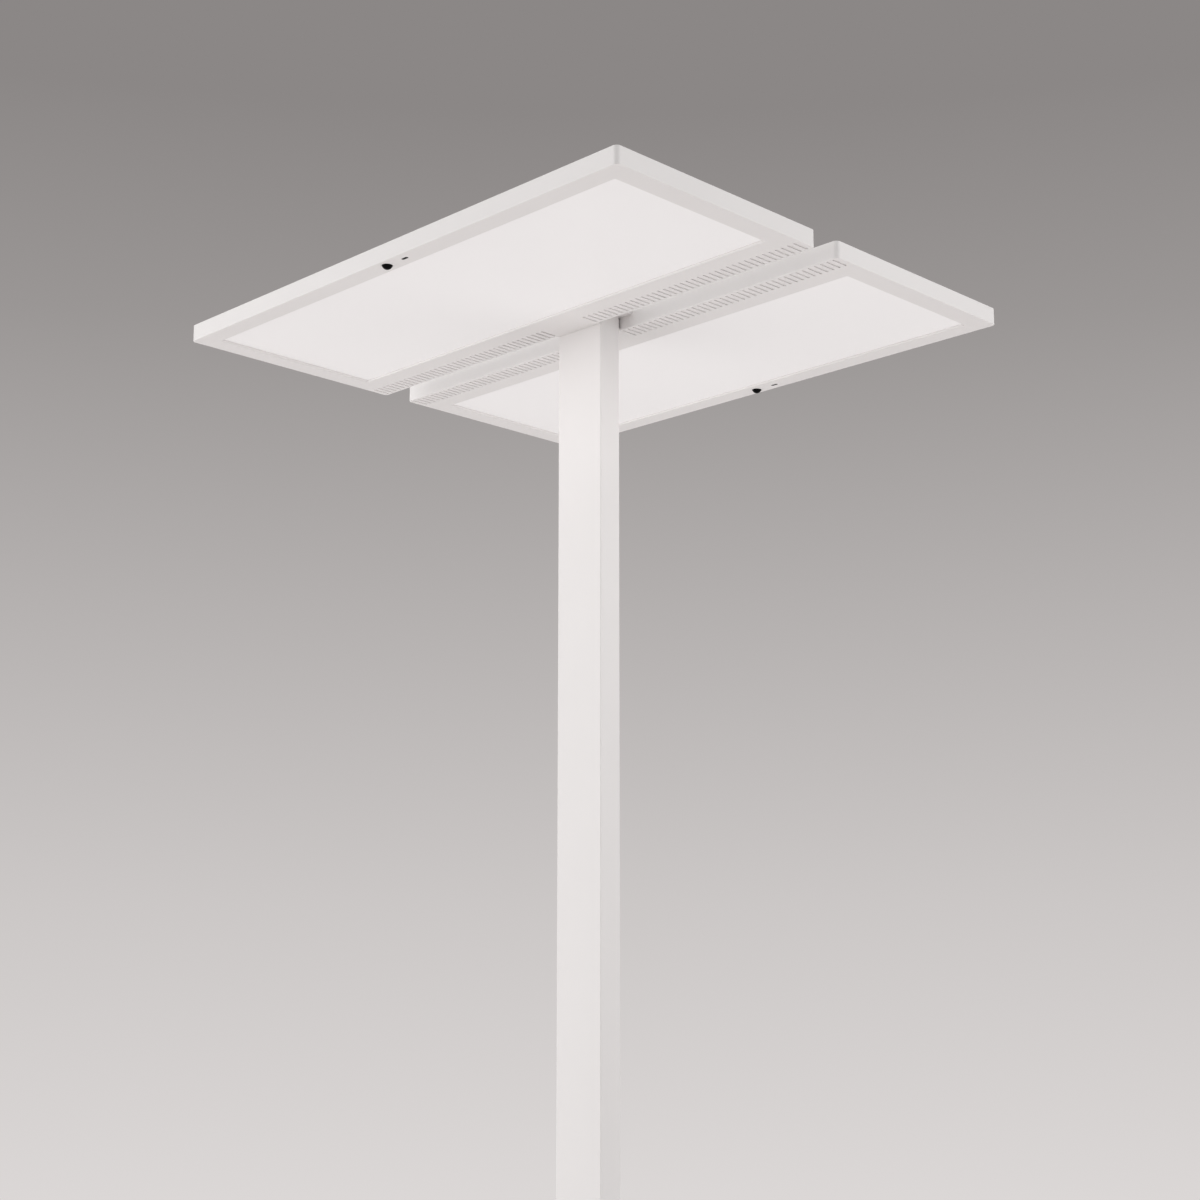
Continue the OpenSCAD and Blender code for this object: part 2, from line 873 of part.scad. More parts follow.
module spring(side) {
    cap_back = button_cap_t - panel_t - button_proud;
    color(steel)
    into_column(panel_z)
        at_button(side, cap_back)
            difference() {
                cylinder(r = spring_r, h = guide_start - cap_back);
                translate([0, 0, -over])
                    cylinder(r = spring_r - spring_w, h = guide_start - cap_back + 2 * over);
            }
}

module brighter_spring() {
    spring(1);
}

module dimmer_spring() {
    spring(-1);
}

// ---------------------------------------------------------------- head carrier

module head_carrier() {
    color(white)
    difference() {
        translate([0, 0, column_top_z])
            plate(carrier_l, head_gap + 2 * carrier_reach, carrier_r, carrier_t);
        at_channels(column_top_z + carrier_t)
            sunk_hole(m6_r, carrier_t, m6_head_r, m6_head_h);
        both_heads()
            at(carrier_posts, cover_w)
                sunk_hole(m5_r, carrier_t, m5_head_r, m5_head_h);
    }
}

module carrier_screws() {
    color(steel)
    at_channels(column_top_z + carrier_t)
        sunk_screw(m6_r, carrier_screw_l, m6_head_r, m6_head_h);
}

module head_screws() {
    color(steel)
    both_heads()
        at(carrier_posts, cover_w)
            sunk_screw(m5_r, m5_l, m5_head_r, m5_head_h);
}

// Cover between the heads, over the carrier's screws
module carrier_cap() {
    color(white)
    translate([0, 0, column_top_z + carrier_t])
        plate(carrier_l, head_gap + 2 * shell_t, window_r, cover_t);
}

// ---------------------------------------------------------------- heads

// Plan of the rows of slots; the same rows are in the housing and in the top cover
module slot_rows() {
    for (side = [-1, 1], i = [0 : slot_count - 1])
        translate([side * (slot_start + i * slot_pitch), slot_inset + slot_l / 2])
            slot_outline(slot_l, slot_w);
}

module housing() {
    color(white)
    difference() {
        union() {
            difference() {
                translate([0, head_w / 2, 0])
                    soft_plate(head_l, head_w, head_corner_r, head_t, head_edge_r);
                translate([0, head_w / 2, shell_t])
                    plate(head_l - 2 * shell_t, head_w - 2 * shell_t, head_corner_r - shell_t, head_t);
            }
            translate([0, window_mid, shell_t / 2])
                plate(rib_l, rib_d, window_r, heat_plate_w - shell_t / 2);
            at(plate_posts, shell_t / 2)
                cylinder(r = m3_post_r, h = heat_plate_w - shell_t / 2);
            at(cover_posts, shell_t / 2)
                cylinder(r = m3_post_r, h = cover_w - shell_t / 2);
            at(driver_posts, shell_t / 2)
                cylinder(r = m3_post_r, h = driver_lift - shell_t / 2);
            at(sensor_posts, shell_t / 2)
                cylinder(r = sensor_post_r, h = sensor_board_w - shell_t / 2);
            at(carrier_posts, shell_t / 2)
                cylinder(r = post_r, h = carrier_w - shell_t / 2);
        }
        translate([0, window_mid, diffuser_recess])
            plate(pocket_l, pocket_d, window_r, head_t);
        translate([0, window_mid, -over])
            plate(window_l, window_d, window_r, head_t);
        translate([0, 0, -over])
            linear_extrude(shell_t + 2 * over)
                slot_rows();
        translate([0, sensor_v, -over])
            cylinder(r = lens_r + thread_gap, h = shell_t + 2 * over);
        translate([sensor_spacing, sensor_v, -over])
            linear_extrude(shell_t + 2 * over)
                rotate(90)
                    slot_outline(daylight_l + 2 * thread_gap, daylight_w + 2 * thread_gap);
        translate([-carrier_l / 2 - fit_gap, -over, carrier_w])
            cube([carrier_l + 2 * fit_gap, shell_t + 2 * over, head_t]);
        translate([0, -over, bush_w])
            rotate([-90, 0, 0])
                cylinder(r = bush_r, h = shell_t + 2 * over);
        at(plate_posts, heat_plate_w - m3_l)
            cylinder(r = m3_r + thread_gap, h = m3_l + over);
        at(cover_posts, cover_w - m3_l)
            cylinder(r = m3_r + thread_gap, h = m3_l + over);
        at(driver_posts, shell_t)
            cylinder(r = m3_r + thread_gap, h = driver_lift);
        at(sensor_posts, shell_t)
            cylinder(r = m3_r + thread_gap, h = sensor_board_w);
        at(carrier_posts, carrier_w - m5_l + over)
            cylinder(r = m5_r + thread_gap, h = m5_l);
    }
}

module diffuser() {
    color(opal)
    translate([0, window_mid, diffuser_recess])
        plate(stack_l, stack_d, window_r, diffuser_t);
}

module light_guide() {
    color([0.85, 0.90, 0.92])
    translate([0, window_mid, guide_w])
        plate(stack_l, stack_d, window_r, guide_t);
}

module reflector() {
    color([0.97, 0.97, 0.97])
    translate([0, window_mid, reflector_w])
        plate(stack_l, stack_d, window_r, reflector_t);
}

// Two boards on edge against the rib, shining into the long sides of the light guide
module led_strips() {
    color(board_green)
    for (side = [-1, 1])
        translate([0, window_mid + side * (pocket_d - strip_t) / 2,
            (diffuser_recess + heat_plate_w) / 2])
            cube([window_l, strip_t, heat_plate_w - diffuser_recess], center = true);
}

module heat_plate() {
    color(alu)
    difference() {
        translate([0, window_mid, heat_plate_w])
            plate(rib_l, heat_plate_d, board_r, heat_plate_t);
        at(plate_posts, heat_plate_w - over)
            cylinder(r = m3_r + thread_gap, h = heat_plate_t + 2 * over);
    }
}

module uplight_boards() {
    color([0.92, 0.93, 0.92])
    for (side = [-1, 1])
        translate([side * (board_l + board_gap) / 2, window_mid, uplight_board_z]) {
            plate(board_l, board_w, board_r, board_t);
            for (i = [0 : led_columns - 1], j = [0 : led_rows - 1])
                translate([(i - (led_columns - 1) / 2) * board_l / led_columns,
                    (j - (led_rows - 1) / 2) * board_w / led_rows, board_t + led_h / 2])
                    cube([led_w, led_w, led_h], center = true);
        }
}

module uplight_pane() {
    color(opal)
    translate([0, window_mid, pane_w]) {
        plate(uplight_l + 2 * pane_rim_w, uplight_w + 2 * pane_rim_w, pane_r, pane_rim_t);
        plate(uplight_l - 2 * fit_gap, uplight_w - 2 * fit_gap, pane_r, pane_rim_t + cover_t);
    }
}

module top_cover() {
    color(white)
    difference() {
        translate([0, head_w / 2, cover_w])
            plate(head_l - 2 * shell_t - 2 * fit_gap, head_w - 2 * shell_t - 2 * fit_gap,
                head_corner_r - shell_t, cover_t);
        translate([0, window_mid, cover_w - over])
            plate(uplight_l, uplight_w, pane_r + fit_gap, cover_t + 2 * over);
        translate([0, 0, cover_w - over])
            linear_extrude(cover_t + 2 * over)
                slot_rows();
        at(cover_posts, head_t)
            sunk_hole(m3_r, cover_t, m3_head_r, m3_head_h);
    }
}

// Flat metal case with a mounting tab at each end; it starts at x = 0
module cased_unit(l) {
    difference() {
        union() {
            translate([0, driver_v - driver_w / 2, driver_lift])
                cube([l, driver_w, driver_h]);
            translate([-tab_l, tab_v - tab_w / 2, driver_lift])
                cube([l + 2 * tab_l, tab_w, tab_t]);
        }
        for (x = [-tab_l / 2, l + tab_l / 2])
            translate([x, tab_v, driver_lift - over])
                cylinder(r = m3_r + thread_gap, h = tab_t + 2 * over);
    }
}

module driver() {
    color(alu)
    translate([driver_start, 0, 0])
        cased_unit(driver_l);
}

module controller() {
    color(opal)
    translate([-driver_start - sensing_unit_l, 0, 0])
        cased_unit(sensing_unit_l);
}

// Board with the presence sensor's can and the light sensor under it
module sensor_board() {
    can_r = 0.6 * lens_r;
    can_z = shell_t + lens_flange_w;
    color(board_green)
    difference() {
        union() {
            translate([sensor_board_x, sensor_v, sensor_board_w])
                plate(sensor_board_l, sensor_board_d, board_r, board_t);
            translate([0, sensor_v, can_z])
                cylinder(r = can_r, h = sensor_board_w - can_z + board_t / 2);
            translate([sensor_spacing, sensor_v, sensor_board_w])
                cube([daylight_w, daylight_w, board_t], center = true);
        }
        at(sensor_posts, sensor_board_w - over)
            cylinder(r = m3_r + thread_gap, h = board_t + 2 * over);
    }
}

// Thin domed lens, seated in the floor of the housing by its flange
module presence_lens() {
    dome_r = (lens_r * lens_r + lens_dome_h * lens_dome_h) / (2 * lens_dome_h);
    color(black)
    translate([0, sensor_v, 0])
        difference() {
            union() {
                cylinder(r = lens_r, h = shell_t);
                translate([0, 0, shell_t])
                    cylinder(r = lens_r + lens_flange_w, h = lens_t);
                intersection() {
                    translate([0, 0, dome_r - lens_dome_h])
                        sphere(dome_r);
                    translate([0, 0, -lens_dome_h])
                        cylinder(r = lens_r, h = lens_dome_h);
                }
            }
            cylinder(r = lens_r - lens_t, h = shell_t + lens_t + over);
        }
}

module light_sensor() {
    color(black)
    translate([sensor_spacing, sensor_v, 0]) {
        linear_extrude(shell_t)
            rotate(90)
                slot_outline(daylight_l, daylight_w);
        translate([0, 0, shell_t])
            linear_extrude(lens_t)
                rotate(90)
                    slot_outline(daylight_l + 2 * lens_flange_w, daylight_w + 2 * lens_flange_w);
    }
}

// Strip of fleece over each row of slots
module dust_screens() {
    row_l = (slot_count - 1) * slot_pitch + slot_w;
    row_mid = slot_start + (slot_count - 1) * slot_pitch / 2;
    color([0.80, 0.80, 0.79])
    for (side = [-1, 1])
        translate([side * row_mid, slot_inset + slot_l / 2, shell_t])
            plate(row_l + 2 * screen_edge, slot_l + 2 * screen_edge, board_r, screen_t);
}

// ---------------------------------------------------------------- small screws

module cover_screws() {
    color(steel)
    both_heads()
        at(cover_posts, head_t)
            sunk_screw(m3_r, cover_t + m3_l - fit_gap, m3_head_r, m3_head_h);
}

module heat_plate_screws() {
    color(steel)
    both_heads()
        at(plate_posts, heat_plate_w + heat_plate_t)
            pan_screw(m3_r, m3_l, m3_head_r, m3_head_h);
}

module driver_screws() {
    color(steel)
    both_heads()
        at(driver_posts, driver_lift + tab_t)
            pan_screw(m3_r, driver_lift + tab_t - shell_t - fit_gap, m3_head_r, m3_head_h);
}

// Screws of the control board and of the two sensor boards
module board_screws() {
    color(steel) {
        into_column(panel_z)
            for (side = [-1, 1])
                translate([0, side * board_screw_z, panel_depth + control_board_t])
                    pan_screw(m3_r, m3_l, m3_head_r, m3_head_h);
        both_heads()
            at(sensor_posts, sensor_board_w + board_t)
                pan_screw(m3_r, m3_l, m3_head_r, m3_head_h);
    }
}

// ---------------------------------------------------------------- the lamp

base_plate();
base_glides();
base_screws();
column();
mains_inlet();
inlet_pins();
mains_cable();
junction_block();
head_cables();
cable_bushes();
control_panel();
control_board();
push_switches();
control_cable();
panel_screws();
board_screws();
brighter_button();
dimmer_button();
brighter_spring();
dimmer_spring();
head_carrier();
carrier_screws();
head_screws();
carrier_cap();
front() housing();  // front_housing
rear() housing();  // rear_housing
front() diffuser();  // front_diffuser
rear() diffuser();  // rear_diffuser
front() light_guide();  // front_light_guide
rear() light_guide();  // rear_light_guide
front() reflector();  // front_reflector
rear() reflector();  // rear_reflector
front() led_strips();  // front_led_strips
rear() led_strips();  // rear_led_strips
front() heat_plate();  // front_heat_plate
rear() heat_plate();  // rear_heat_plate
front() uplight_boards();  // front_uplight_boards
rear() uplight_boards();  // rear_uplight_boards
front() uplight_pane();  // front_uplight_pane
rear() uplight_pane();  // rear_uplight_pane
front() top_cover();  // front_top_cover
rear() top_cover();  // rear_top_cover
front() driver();  // front_driver
rear() driver();  // rear_driver
front() controller();  // front_controller
rear() controller();  // rear_controller
front() sensor_board();  // front_sensor_board
rear() sensor_board();  // rear_sensor_board
front() presence_lens();  // front_presence_lens
rear() presence_lens();  // rear_presence_lens
front() light_sensor();  // front_light_sensor
rear() light_sensor();  // rear_light_sensor
front() dust_screens();  // front_dust_screens
rear() dust_screens();  // rear_dust_screens
cover_screws();
heat_plate_screws();
driver_screws();
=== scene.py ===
import math

import bmesh
import bpy
from mathutils import Matrix, Vector


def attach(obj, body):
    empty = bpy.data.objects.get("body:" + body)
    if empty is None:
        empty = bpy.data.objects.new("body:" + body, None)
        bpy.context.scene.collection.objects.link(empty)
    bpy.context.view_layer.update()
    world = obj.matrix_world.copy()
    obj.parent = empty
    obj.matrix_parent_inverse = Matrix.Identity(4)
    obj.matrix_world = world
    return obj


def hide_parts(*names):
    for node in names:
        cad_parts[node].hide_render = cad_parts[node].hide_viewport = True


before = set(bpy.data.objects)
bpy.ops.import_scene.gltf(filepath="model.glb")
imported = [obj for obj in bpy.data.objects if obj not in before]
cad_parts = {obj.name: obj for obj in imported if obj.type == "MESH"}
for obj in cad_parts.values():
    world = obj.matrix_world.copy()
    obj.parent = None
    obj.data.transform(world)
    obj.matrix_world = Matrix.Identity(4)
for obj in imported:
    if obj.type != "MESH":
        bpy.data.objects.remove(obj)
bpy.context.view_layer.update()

scene = bpy.context.scene
scene.view_settings.view_transform = "Standard"


# ------------------------------------------------------------------ camera
# The photograph is taken from chest height, from in front of the right-hand
# corner, and looks up at the underside of the two heads.

camera_turn, camera_tilt = 45, 10.02

view = bpy.data.cameras.new("camera")
view.sensor_width = 36
view.lens = 58.8
view.shift_y = 0.05
view.clip_end = 200
camera = bpy.data.objects.new("camera", view)
camera.location = (1.7995, -1.7783, 1.0328)
camera.rotation_euler = (math.radians(90 + camera_tilt), 0, math.radians(camera_turn))
scene.collection.objects.link(camera)
scene.camera = camera


# ------------------------------------------------------------------ studio
# A round pale floor in an even grey room that darkens upwards, lit all round,
# with broad soft lamps at both sides and above, and pale cards on the floor.

def srgb(red, green, blue):
    """A colour as a screen shows it, 0 to 255, in the linear values that nodes take."""
    def linear(value):
        value = value / 255
        return value / 12.92 if value <= 0.04045 else ((value + 0.055) / 1.055) ** 2.4
    return (linear(red), linear(green), linear(blue), 1)


def step(tree, kind, inputs=None, **settings):
    """Adds a node; each input is given a value or another node's output."""
    node = tree.nodes.new(kind)
    for name, value in settings.items():
        setattr(node, name, value)
    for key, value in (inputs or {}).items():
        if isinstance(value, bpy.types.NodeSocket):
            tree.links.new(value, node.inputs[key])
        else:
            node.inputs[key].default_value = value
    return node


def seen_directly(tree):
    """1 for rays from the camera, in reflections and through glass."""
    path = step(tree, "ShaderNodeLightPath")
    mirrored = step(tree, "ShaderNodeMath", {
        0: path.outputs["Is Camera Ray"], 1: path.outputs["Is Glossy Ray"]}, operation="MAXIMUM")
    through = step(tree, "ShaderNodeMath", {
        0: mirrored.outputs[0], 1: path.outputs["Is Transmission Ray"]}, operation="MAXIMUM")
    return through.outputs[0]


room_colours = [
    (-0.092, (219, 215, 214)),
    (0.053, (203, 199, 198)),
    (0.200, (180, 176, 175)),
    (0.334, (154, 150, 149)),
    (0.433, (139, 135, 134)),
]
room_low, room_high = -0.2, 0.6
daylight_strength = 0.69

world = bpy.data.worlds.new("studio")
scene.world = world
world.use_nodes = True
room = world.node_tree
room.nodes.clear()
direction = step(room, "ShaderNodeTexCoord")
upward = step(room, "ShaderNodeSeparateXYZ", {0: direction.outputs["Generated"]})
height = step(room, "ShaderNodeMapRange", {
    "Value": upward.outputs["Z"], "From Min": room_low, "From Max": room_high})
shades = step(room, "ShaderNodeValToRGB", {0: height.outputs[0]})
stops = shades.color_ramp.elements
while len(stops) < len(room_colours):
    stops.new(0.5)
for stop, (rise, colour) in zip(stops, room_colours):
    stop.position = (rise - room_low) / (room_high - room_low)
    stop.color = srgb(*colour)
backdrop = step(room, "ShaderNodeBackground", {"Color": shades.outputs[0], "Strength": 1.0})
daylight = step(room, "ShaderNodeBackground", {
    "Color": (1, 1, 1, 1), "Strength": daylight_strength})
room_mix = step(room, "ShaderNodeMixShader", {
    0: seen_directly(room), 1: daylight.outputs[0], 2: backdrop.outputs[0]})
step(room, "ShaderNodeOutputWorld", {0: room_mix.outputs[0]})

floor_radius, floor_sides = 6.0, 128
fade_start, fade_end = 1.0, 3.0
floor_mesh = bpy.data.meshes.new("floor")
rim = [(floor_radius * math.cos(i * math.tau / floor_sides),
        floor_radius * math.sin(i * math.tau / floor_sides), 0) for i in range(floor_sides)]
floor_mesh.from_pydata(rim, [], [range(floor_sides)])
floor = bpy.data.objects.new("floor", floor_mesh)
scene.collection.objects.link(floor)

floor_paint = bpy.data.materials.new("floor_paint")
floor_paint.use_nodes = True
paint = floor_paint.node_tree
paint.nodes.clear()
place = step(paint, "ShaderNodeTexCoord")
distance = step(paint, "ShaderNodeVectorMath", {0: place.outputs["Object"]}, operation="LENGTH")
fade = step(paint, "ShaderNodeMapRange", {
    "Value": distance.outputs["Value"], "From Min": fade_start, "From Max": fade_end},
    interpolation_type="SMOOTHSTEP")
far = step(paint, "ShaderNodeMath", {
    0: fade.outputs[0], 1: seen_directly(paint)}, operation="MULTIPLY")
matt = step(paint, "ShaderNodeBsdfDiffuse", {"Color": srgb(222, 218, 217)})
glow = step(paint, "ShaderNodeEmission", {"Color": srgb(*room_colours[0][1])})
floor_mix = step(paint, "ShaderNodeMixShader", {
    0: far.outputs[0], 1: matt.outputs[0], 2: glow.outputs[0]})
step(paint, "ShaderNodeOutputMaterial", {0: floor_mix.outputs[0]})
floor_mesh.materials.append(floor_paint)


def soft_lamp(name, place, aim, size, energy, spread=180):
    """A broad lamp that the camera doesn't see."""
    light = bpy.data.lights.new(name, "AREA")
    light.shape = "RECTANGLE"
    light.size, light.size_y = size
    light.energy = energy
    light.spread = math.radians(spread)
    lamp = bpy.data.objects.new(name, light)
    lamp.location = place
    lamp.rotation_euler = (Vector(aim) - Vector(place)).to_track_quat("-Z", "Y").to_euler()
    lamp.visible_camera = lamp.visible_glossy = False
    scene.collection.objects.link(lamp)


soft_lamp("left_lamp", (-3.5, -2.2, 1.9), (0, 0, 1.6), (2.0, 2.5), 31)
soft_lamp("front_left_lamp", (-2.2, -3.0, 2.0), (0, 0, 1.6), (2.0, 2.0), 28.8)
soft_lamp("right_lamp", (2.6, 2.2, 2.3), (0.36, -0.12, 1.88), (1.2, 1.2), 2.9, 52)
soft_lamp("top_lamp", (0, 0, 4.5), (0, 0, 1), (3.0, 3.0), 18)
soft_lamp("left_card", (-1.7, -1.7, 0.02), (-1.7, -1.7, 1), (2.6, 2.6), 15.8)
soft_lamp("right_card", (1.8, 1.8, 0.02), (1.8, 1.8, 1), (3.0, 3.0), 25)


# ------------------------------------------------------------------ base plate
# A 10 mm steel plate with round corners and a rounded upper edge, cut and then
# powder coated white. Four screws from below hold the column on it.

def new_surface(name):
    """A material with its shader and the piece's own coordinates."""
    material = bpy.data.materials.new(name)
    material.use_nodes = True
    tree = material.node_tree
    shader = tree.nodes["Principled BSDF"]
    where = step(tree, "ShaderNodeTexCoord").outputs["Object"]
    return material, tree, shader, where


def tint(tree, shader, where, colour, other, scale, detail=3):
    """Clouds of a second shade in the colour."""
    cloud = step(tree, "ShaderNodeTexNoise", {"Vector": where, "Scale": scale, "Detail": detail})
    mix = step(tree, "ShaderNodeMix", {
        0: cloud.outputs["Fac"], 6: colour, 7: other}, data_type="RGBA")
    tree.links.new(mix.outputs[2], shader.inputs["Base Color"])


def gloss(tree, shader, pattern, low, high):
    """Roughness that follows a pattern, which keeps near the middle of its range."""
    level = step(tree, "ShaderNodeMapRange", {
        "Value": pattern, "From Min": 0.3, "From Max": 0.7, "To Min": low, "To Max": high})
    tree.links.new(level.outputs[0], shader.inputs["Roughness"])


def relief(tree, shader, pattern, depth, strength=1.0):
    """Bumps of a given depth in metres."""
    bump = step(tree, "ShaderNodeBump", {
        "Height": pattern, "Distance": depth, "Strength": strength})
    tree.links.new(bump.outputs[0], shader.inputs["Normal"])


def powder_coat(name, colour, other):
    """Baked powder paint: satin, with a fine orange-peel skin."""
    material, tree, shader, where = new_surface(name)
    tint(tree, shader, where, colour, other, 5)
    peel = step(tree, "ShaderNodeTexNoise", {
        "Vector": where, "Scale": 650, "Detail": 2, "Roughness": 0.4})
    handled = step(tree, "ShaderNodeTexNoise", {"Vector": where, "Scale": 22, "Detail": 4})
    gloss(tree, shader, handled.outputs["Fac"], 0.40, 0.50)
    relief(tree, shader, peel.outputs["Fac"], 0.00009, 0.5)
    shader.inputs["Specular IOR Level"].default_value = 0.4
    return material


def new_piece(name, build):
    """An object from a bmesh, with its faces turned outwards."""
    mesh = bpy.data.meshes.new(name)
    bmesh.ops.recalc_face_normals(build, faces=build.faces)
    build.to_mesh(mesh)
    build.free()
    piece = bpy.data.objects.new(name, mesh)
    scene.collection.objects.link(piece)
    return piece


def fit(piece, body, slot, *nodes):
    """Mounts a finished piece on its body, in place of the CAD nodes that it stands for."""
    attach(piece, body)
    if nodes:
        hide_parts(*nodes)


def settle(piece):
    """Keeps the result of the modifiers as the piece's own mesh."""
    graph = bpy.context.evaluated_depsgraph_get()
    mesh = bpy.data.meshes.new_from_object(
        piece.evaluated_get(graph), preserve_all_data_layers=True, depsgraph=graph)
    piece.modifiers.clear()
    piece.data = mesh


# Edges sharper than this, in degrees, stay crisp.
crease = 32


def smooth(piece, material, edge=0, rounds=2, corner=crease):
    """Breaks the sharp edges, shades the rounded ones smoothly and keeps the flats flat."""
    if edge:
        bevel = piece.modifiers.new("edge", "BEVEL")
        bevel.width = edge
        bevel.segments = rounds
        bevel.limit_method = "ANGLE"
        bevel.angle_limit = math.radians(corner)
        settle(piece)
    piece.data.shade_smooth()
    piece.data.set_sharp_from_angle(angle=math.radians(corner))
    weighted = piece.modifiers.new("normals", "WEIGHTED_NORMAL")
    weighted.keep_sharp = True
    settle(piece)
    piece.data.materials.clear()
    piece.data.materials.append(material)


def round_path(length, width, radius, turns=8, middle=(0, 0)):
    """Points round a rectangle with round corners, each with its outward direction."""
    points = []
    for quarter, (sx, sy) in enumerate([(1, 1), (-1, 1), (-1, -1), (1, -1)]):
        corner = Vector((sx * (length / 2 - radius) + middle[0],
                         sy * (width / 2 - radius) + middle[1]))
        for i in range(turns + 1):
            angle = (quarter + i / turns) * math.pi / 2
            out = Vector((math.cos(angle), math.sin(angle)))
            points.append((corner + out * radius, out))
    return points


def ring_path(radius, turns=24, middle=(0, 0)):
    """Points round a circle, each with its outward direction."""
    points = []
    for i in range(turns):
        out = Vector((math.cos(i * math.tau / turns), math.sin(i * math.tau / turns)))
        points.append((Vector(middle) + out * radius, out))
    return points


def ring(path, offset, height):
    """The path moved outwards, at a height."""
    return [(*(point + out * offset), height) for point, out in path]


def skin(build, rings):
    """Faces from each ring of points to the next; gives the last ring's vertices."""
    rings = [[build.verts.new(point) for point in points] for points in rings]
    for lower, upper in zip(rings, rings[1:]):
        for i in range(len(lower)):
            build.faces.new((lower[i - 1], lower[i], upper[i], upper[i - 1]))
    return rings[-1]


def sweep(build, path, section):
    """A skin whose section, as pairs of outward offset and height, runs round the path."""
    return skin(build, [ring(path, offset, height) for offset, height in section])


def close_flats(build, *heights):
    """Fills what the open edges at each height enclose, round any holes in it."""
    for height in heights:
        edges = [edge for edge in build.edges if edge.is_boundary
                 and all(abs(vert.co.z - height) < 1e-6 for vert in edge.verts)]
        bmesh.ops.triangle_fill(build, edges=edges, use_beauty=False, use_dissolve=False,
                                normal=(0, 0, 1))


def quarter_round(radius, offset, height, start, turns=5):
    """Section of a rounded edge about a centre; start is the quarter it begins in."""
    return [(offset + radius * math.cos((start + i / turns) * math.pi / 2),
             height + radius * math.sin((start + i / turns) * math.pi / 2))
            for i in range(turns + 1)]


white_coat = powder_coat("white_coat", srgb(233, 230, 229), srgb(228, 225, 224))

base_long, base_wide, base_corner = 0.480, 0.380, 0.020
base_low, base_high = 0.003, 0.013
base_rounding, base_lower_edge = 0.0015, 0.0004
channel_x, channel_y = 0.034, 0.0115
channels = [(sx * channel_x, sy * channel_y) for sx in (-1, 1) for sy in (-1, 1)]
base_screw_hole, base_screw_sink, base_screw_depth = 0.0057, 0.0030, 0.0045

base = bmesh.new()
sweep(base, round_path(base_long, base_wide, base_corner, 14),
      [(-base_lower_edge, base_low), (0, base_low + base_lower_edge)]
      + quarter_round(base_rounding, -base_rounding, base_high - base_rounding, 0))
for channel in channels:
    base.faces.new(sweep(base, ring_path(base_screw_hole, 24, channel), [
        (0, base_low), (-base_screw_sink, base_low + base_screw_sink),
        (-base_screw_sink, base_low + base_screw_depth)]))
close_flats(base, base_low, base_high)
base_plate = new_piece("base_plate_steel", base)
smooth(base_plate, white_coat)
fit(base_plate, "lamp", "white_metal", "base_plate")


# ------------------------------------------------------------------ glides and base screws
# Four moulded black glides with a ribbed sole keep the plate off the floor.
# Four sunk socket screws between them go up into the column's channels.

def new_tree(name, inputs):
    """A tree with named inputs; gives the tree and its input node's outputs."""
    tree = bpy.data.node_groups.new(name, "GeometryNodeTree")
    tree.interface.new_socket("Geometry", in_out="INPUT", socket_type="NodeSocketGeometry")
    tree.interface.new_socket("Geometry", in_out="OUTPUT", socket_type="NodeSocketGeometry")
    for label, kind in inputs.items():
        tree.interface.new_socket(label, in_out="INPUT", socket_type="NodeSocket" + kind)
    return tree, step(tree, "NodeGroupInput").outputs


def end_tree(tree, geometry, material):
    """Ends a tree in plain, painted geometry."""
    real = step(tree, "GeometryNodeRealizeInstances", {0: geometry})
    painted = step(tree, "GeometryNodeSetMaterial", {
        "Geometry": real.outputs[0], "Material": material})
    step(tree, "NodeGroupOutput", {0: painted.outputs[0]})


def grow(piece, tree, inputs):
    """Runs a tree on a piece and keeps its result."""
    modifier = piece.modifiers.new(tree.name, "NODES")
    modifier.node_group = tree
    for item in tree.interface.items_tree:
        if item.in_out == "INPUT" and item.name in inputs:
            modifier[item.identifier] = inputs[item.name]
    settle(piece)


placed_tree, given = new_tree("parts_on_places", {
    "Part": "Object", "Facing": "Rotation", "Seed": "Int", "Material": "Material"})
part_form = step(placed_tree, "GeometryNodeObjectInfo", {
    "Object": given["Part"], "As Instance": True})
placed = step(placed_tree, "GeometryNodeInstanceOnPoints", {
    "Points": given["Geometry"], "Instance": part_form.outputs["Geometry"],
    "Rotation": given["Facing"]})
any_turn = step(placed_tree, "FunctionNodeRandomValue", {
    "Min": (0, 0, 0), "Max": (0, 0, math.tau), "Seed": given["Seed"]}, data_type="FLOAT_VECTOR")
turned = step(placed_tree, "GeometryNodeRotateInstances", {
    "Instances": placed.outputs[0], "Rotation": any_turn.outputs[0], "Local Space": True})
end_tree(placed_tree, turned.outputs[0], given["Material"])


def put_on_places(name, form, places, facing, material, seed):
    """One mesh of the same part, standing on each place and turned at random about its axis."""
    pattern = new_piece(name + "_pattern", form)
    pattern.data.shade_smooth()
    pattern.data.set_sharp_from_angle(angle=math.radians(crease))
    points = bmesh.new()
    for spot in places:
        points.verts.new(spot)
    piece = new_piece(name, points)
    grow(piece, placed_tree, {
        "Part": pattern, "Facing": facing, "Seed": seed, "Material": material})
    bpy.data.objects.remove(pattern)
    piece.data.materials.clear()
    piece.data.materials.append(material)
    return piece


def screw_form(head_radius, head_height, shank_radius, length, raised):
    """A socket screw along Z; a raised head rests on z = 0, and a sunk one lies below it."""
    form = bmesh.new()
    around = ring_path(head_radius)
    edge = head_radius * 0.08
    neck = shank_radius - head_radius
    if raised:
        top = head_height
        crown = head_height * 0.55
        outside = [(neck, 0), (0, 0)] + quarter_round(crown, -crown, top - crown, 0)
    else:
        top = 0
        outside = [(neck, -head_height), (0, -edge), (-edge, 0)]
    form.faces.new(sweep(form, around, list(reversed(outside)) + [(neck, -length)]))
    key = ring_path(shank_radius * 0.8, 6)
    form.faces.new(sweep(form, key, [
        (edge / 2, top), (0, top - edge / 2), (0, top - head_height * 0.6)]))
    close_flats(form, top)
    return form


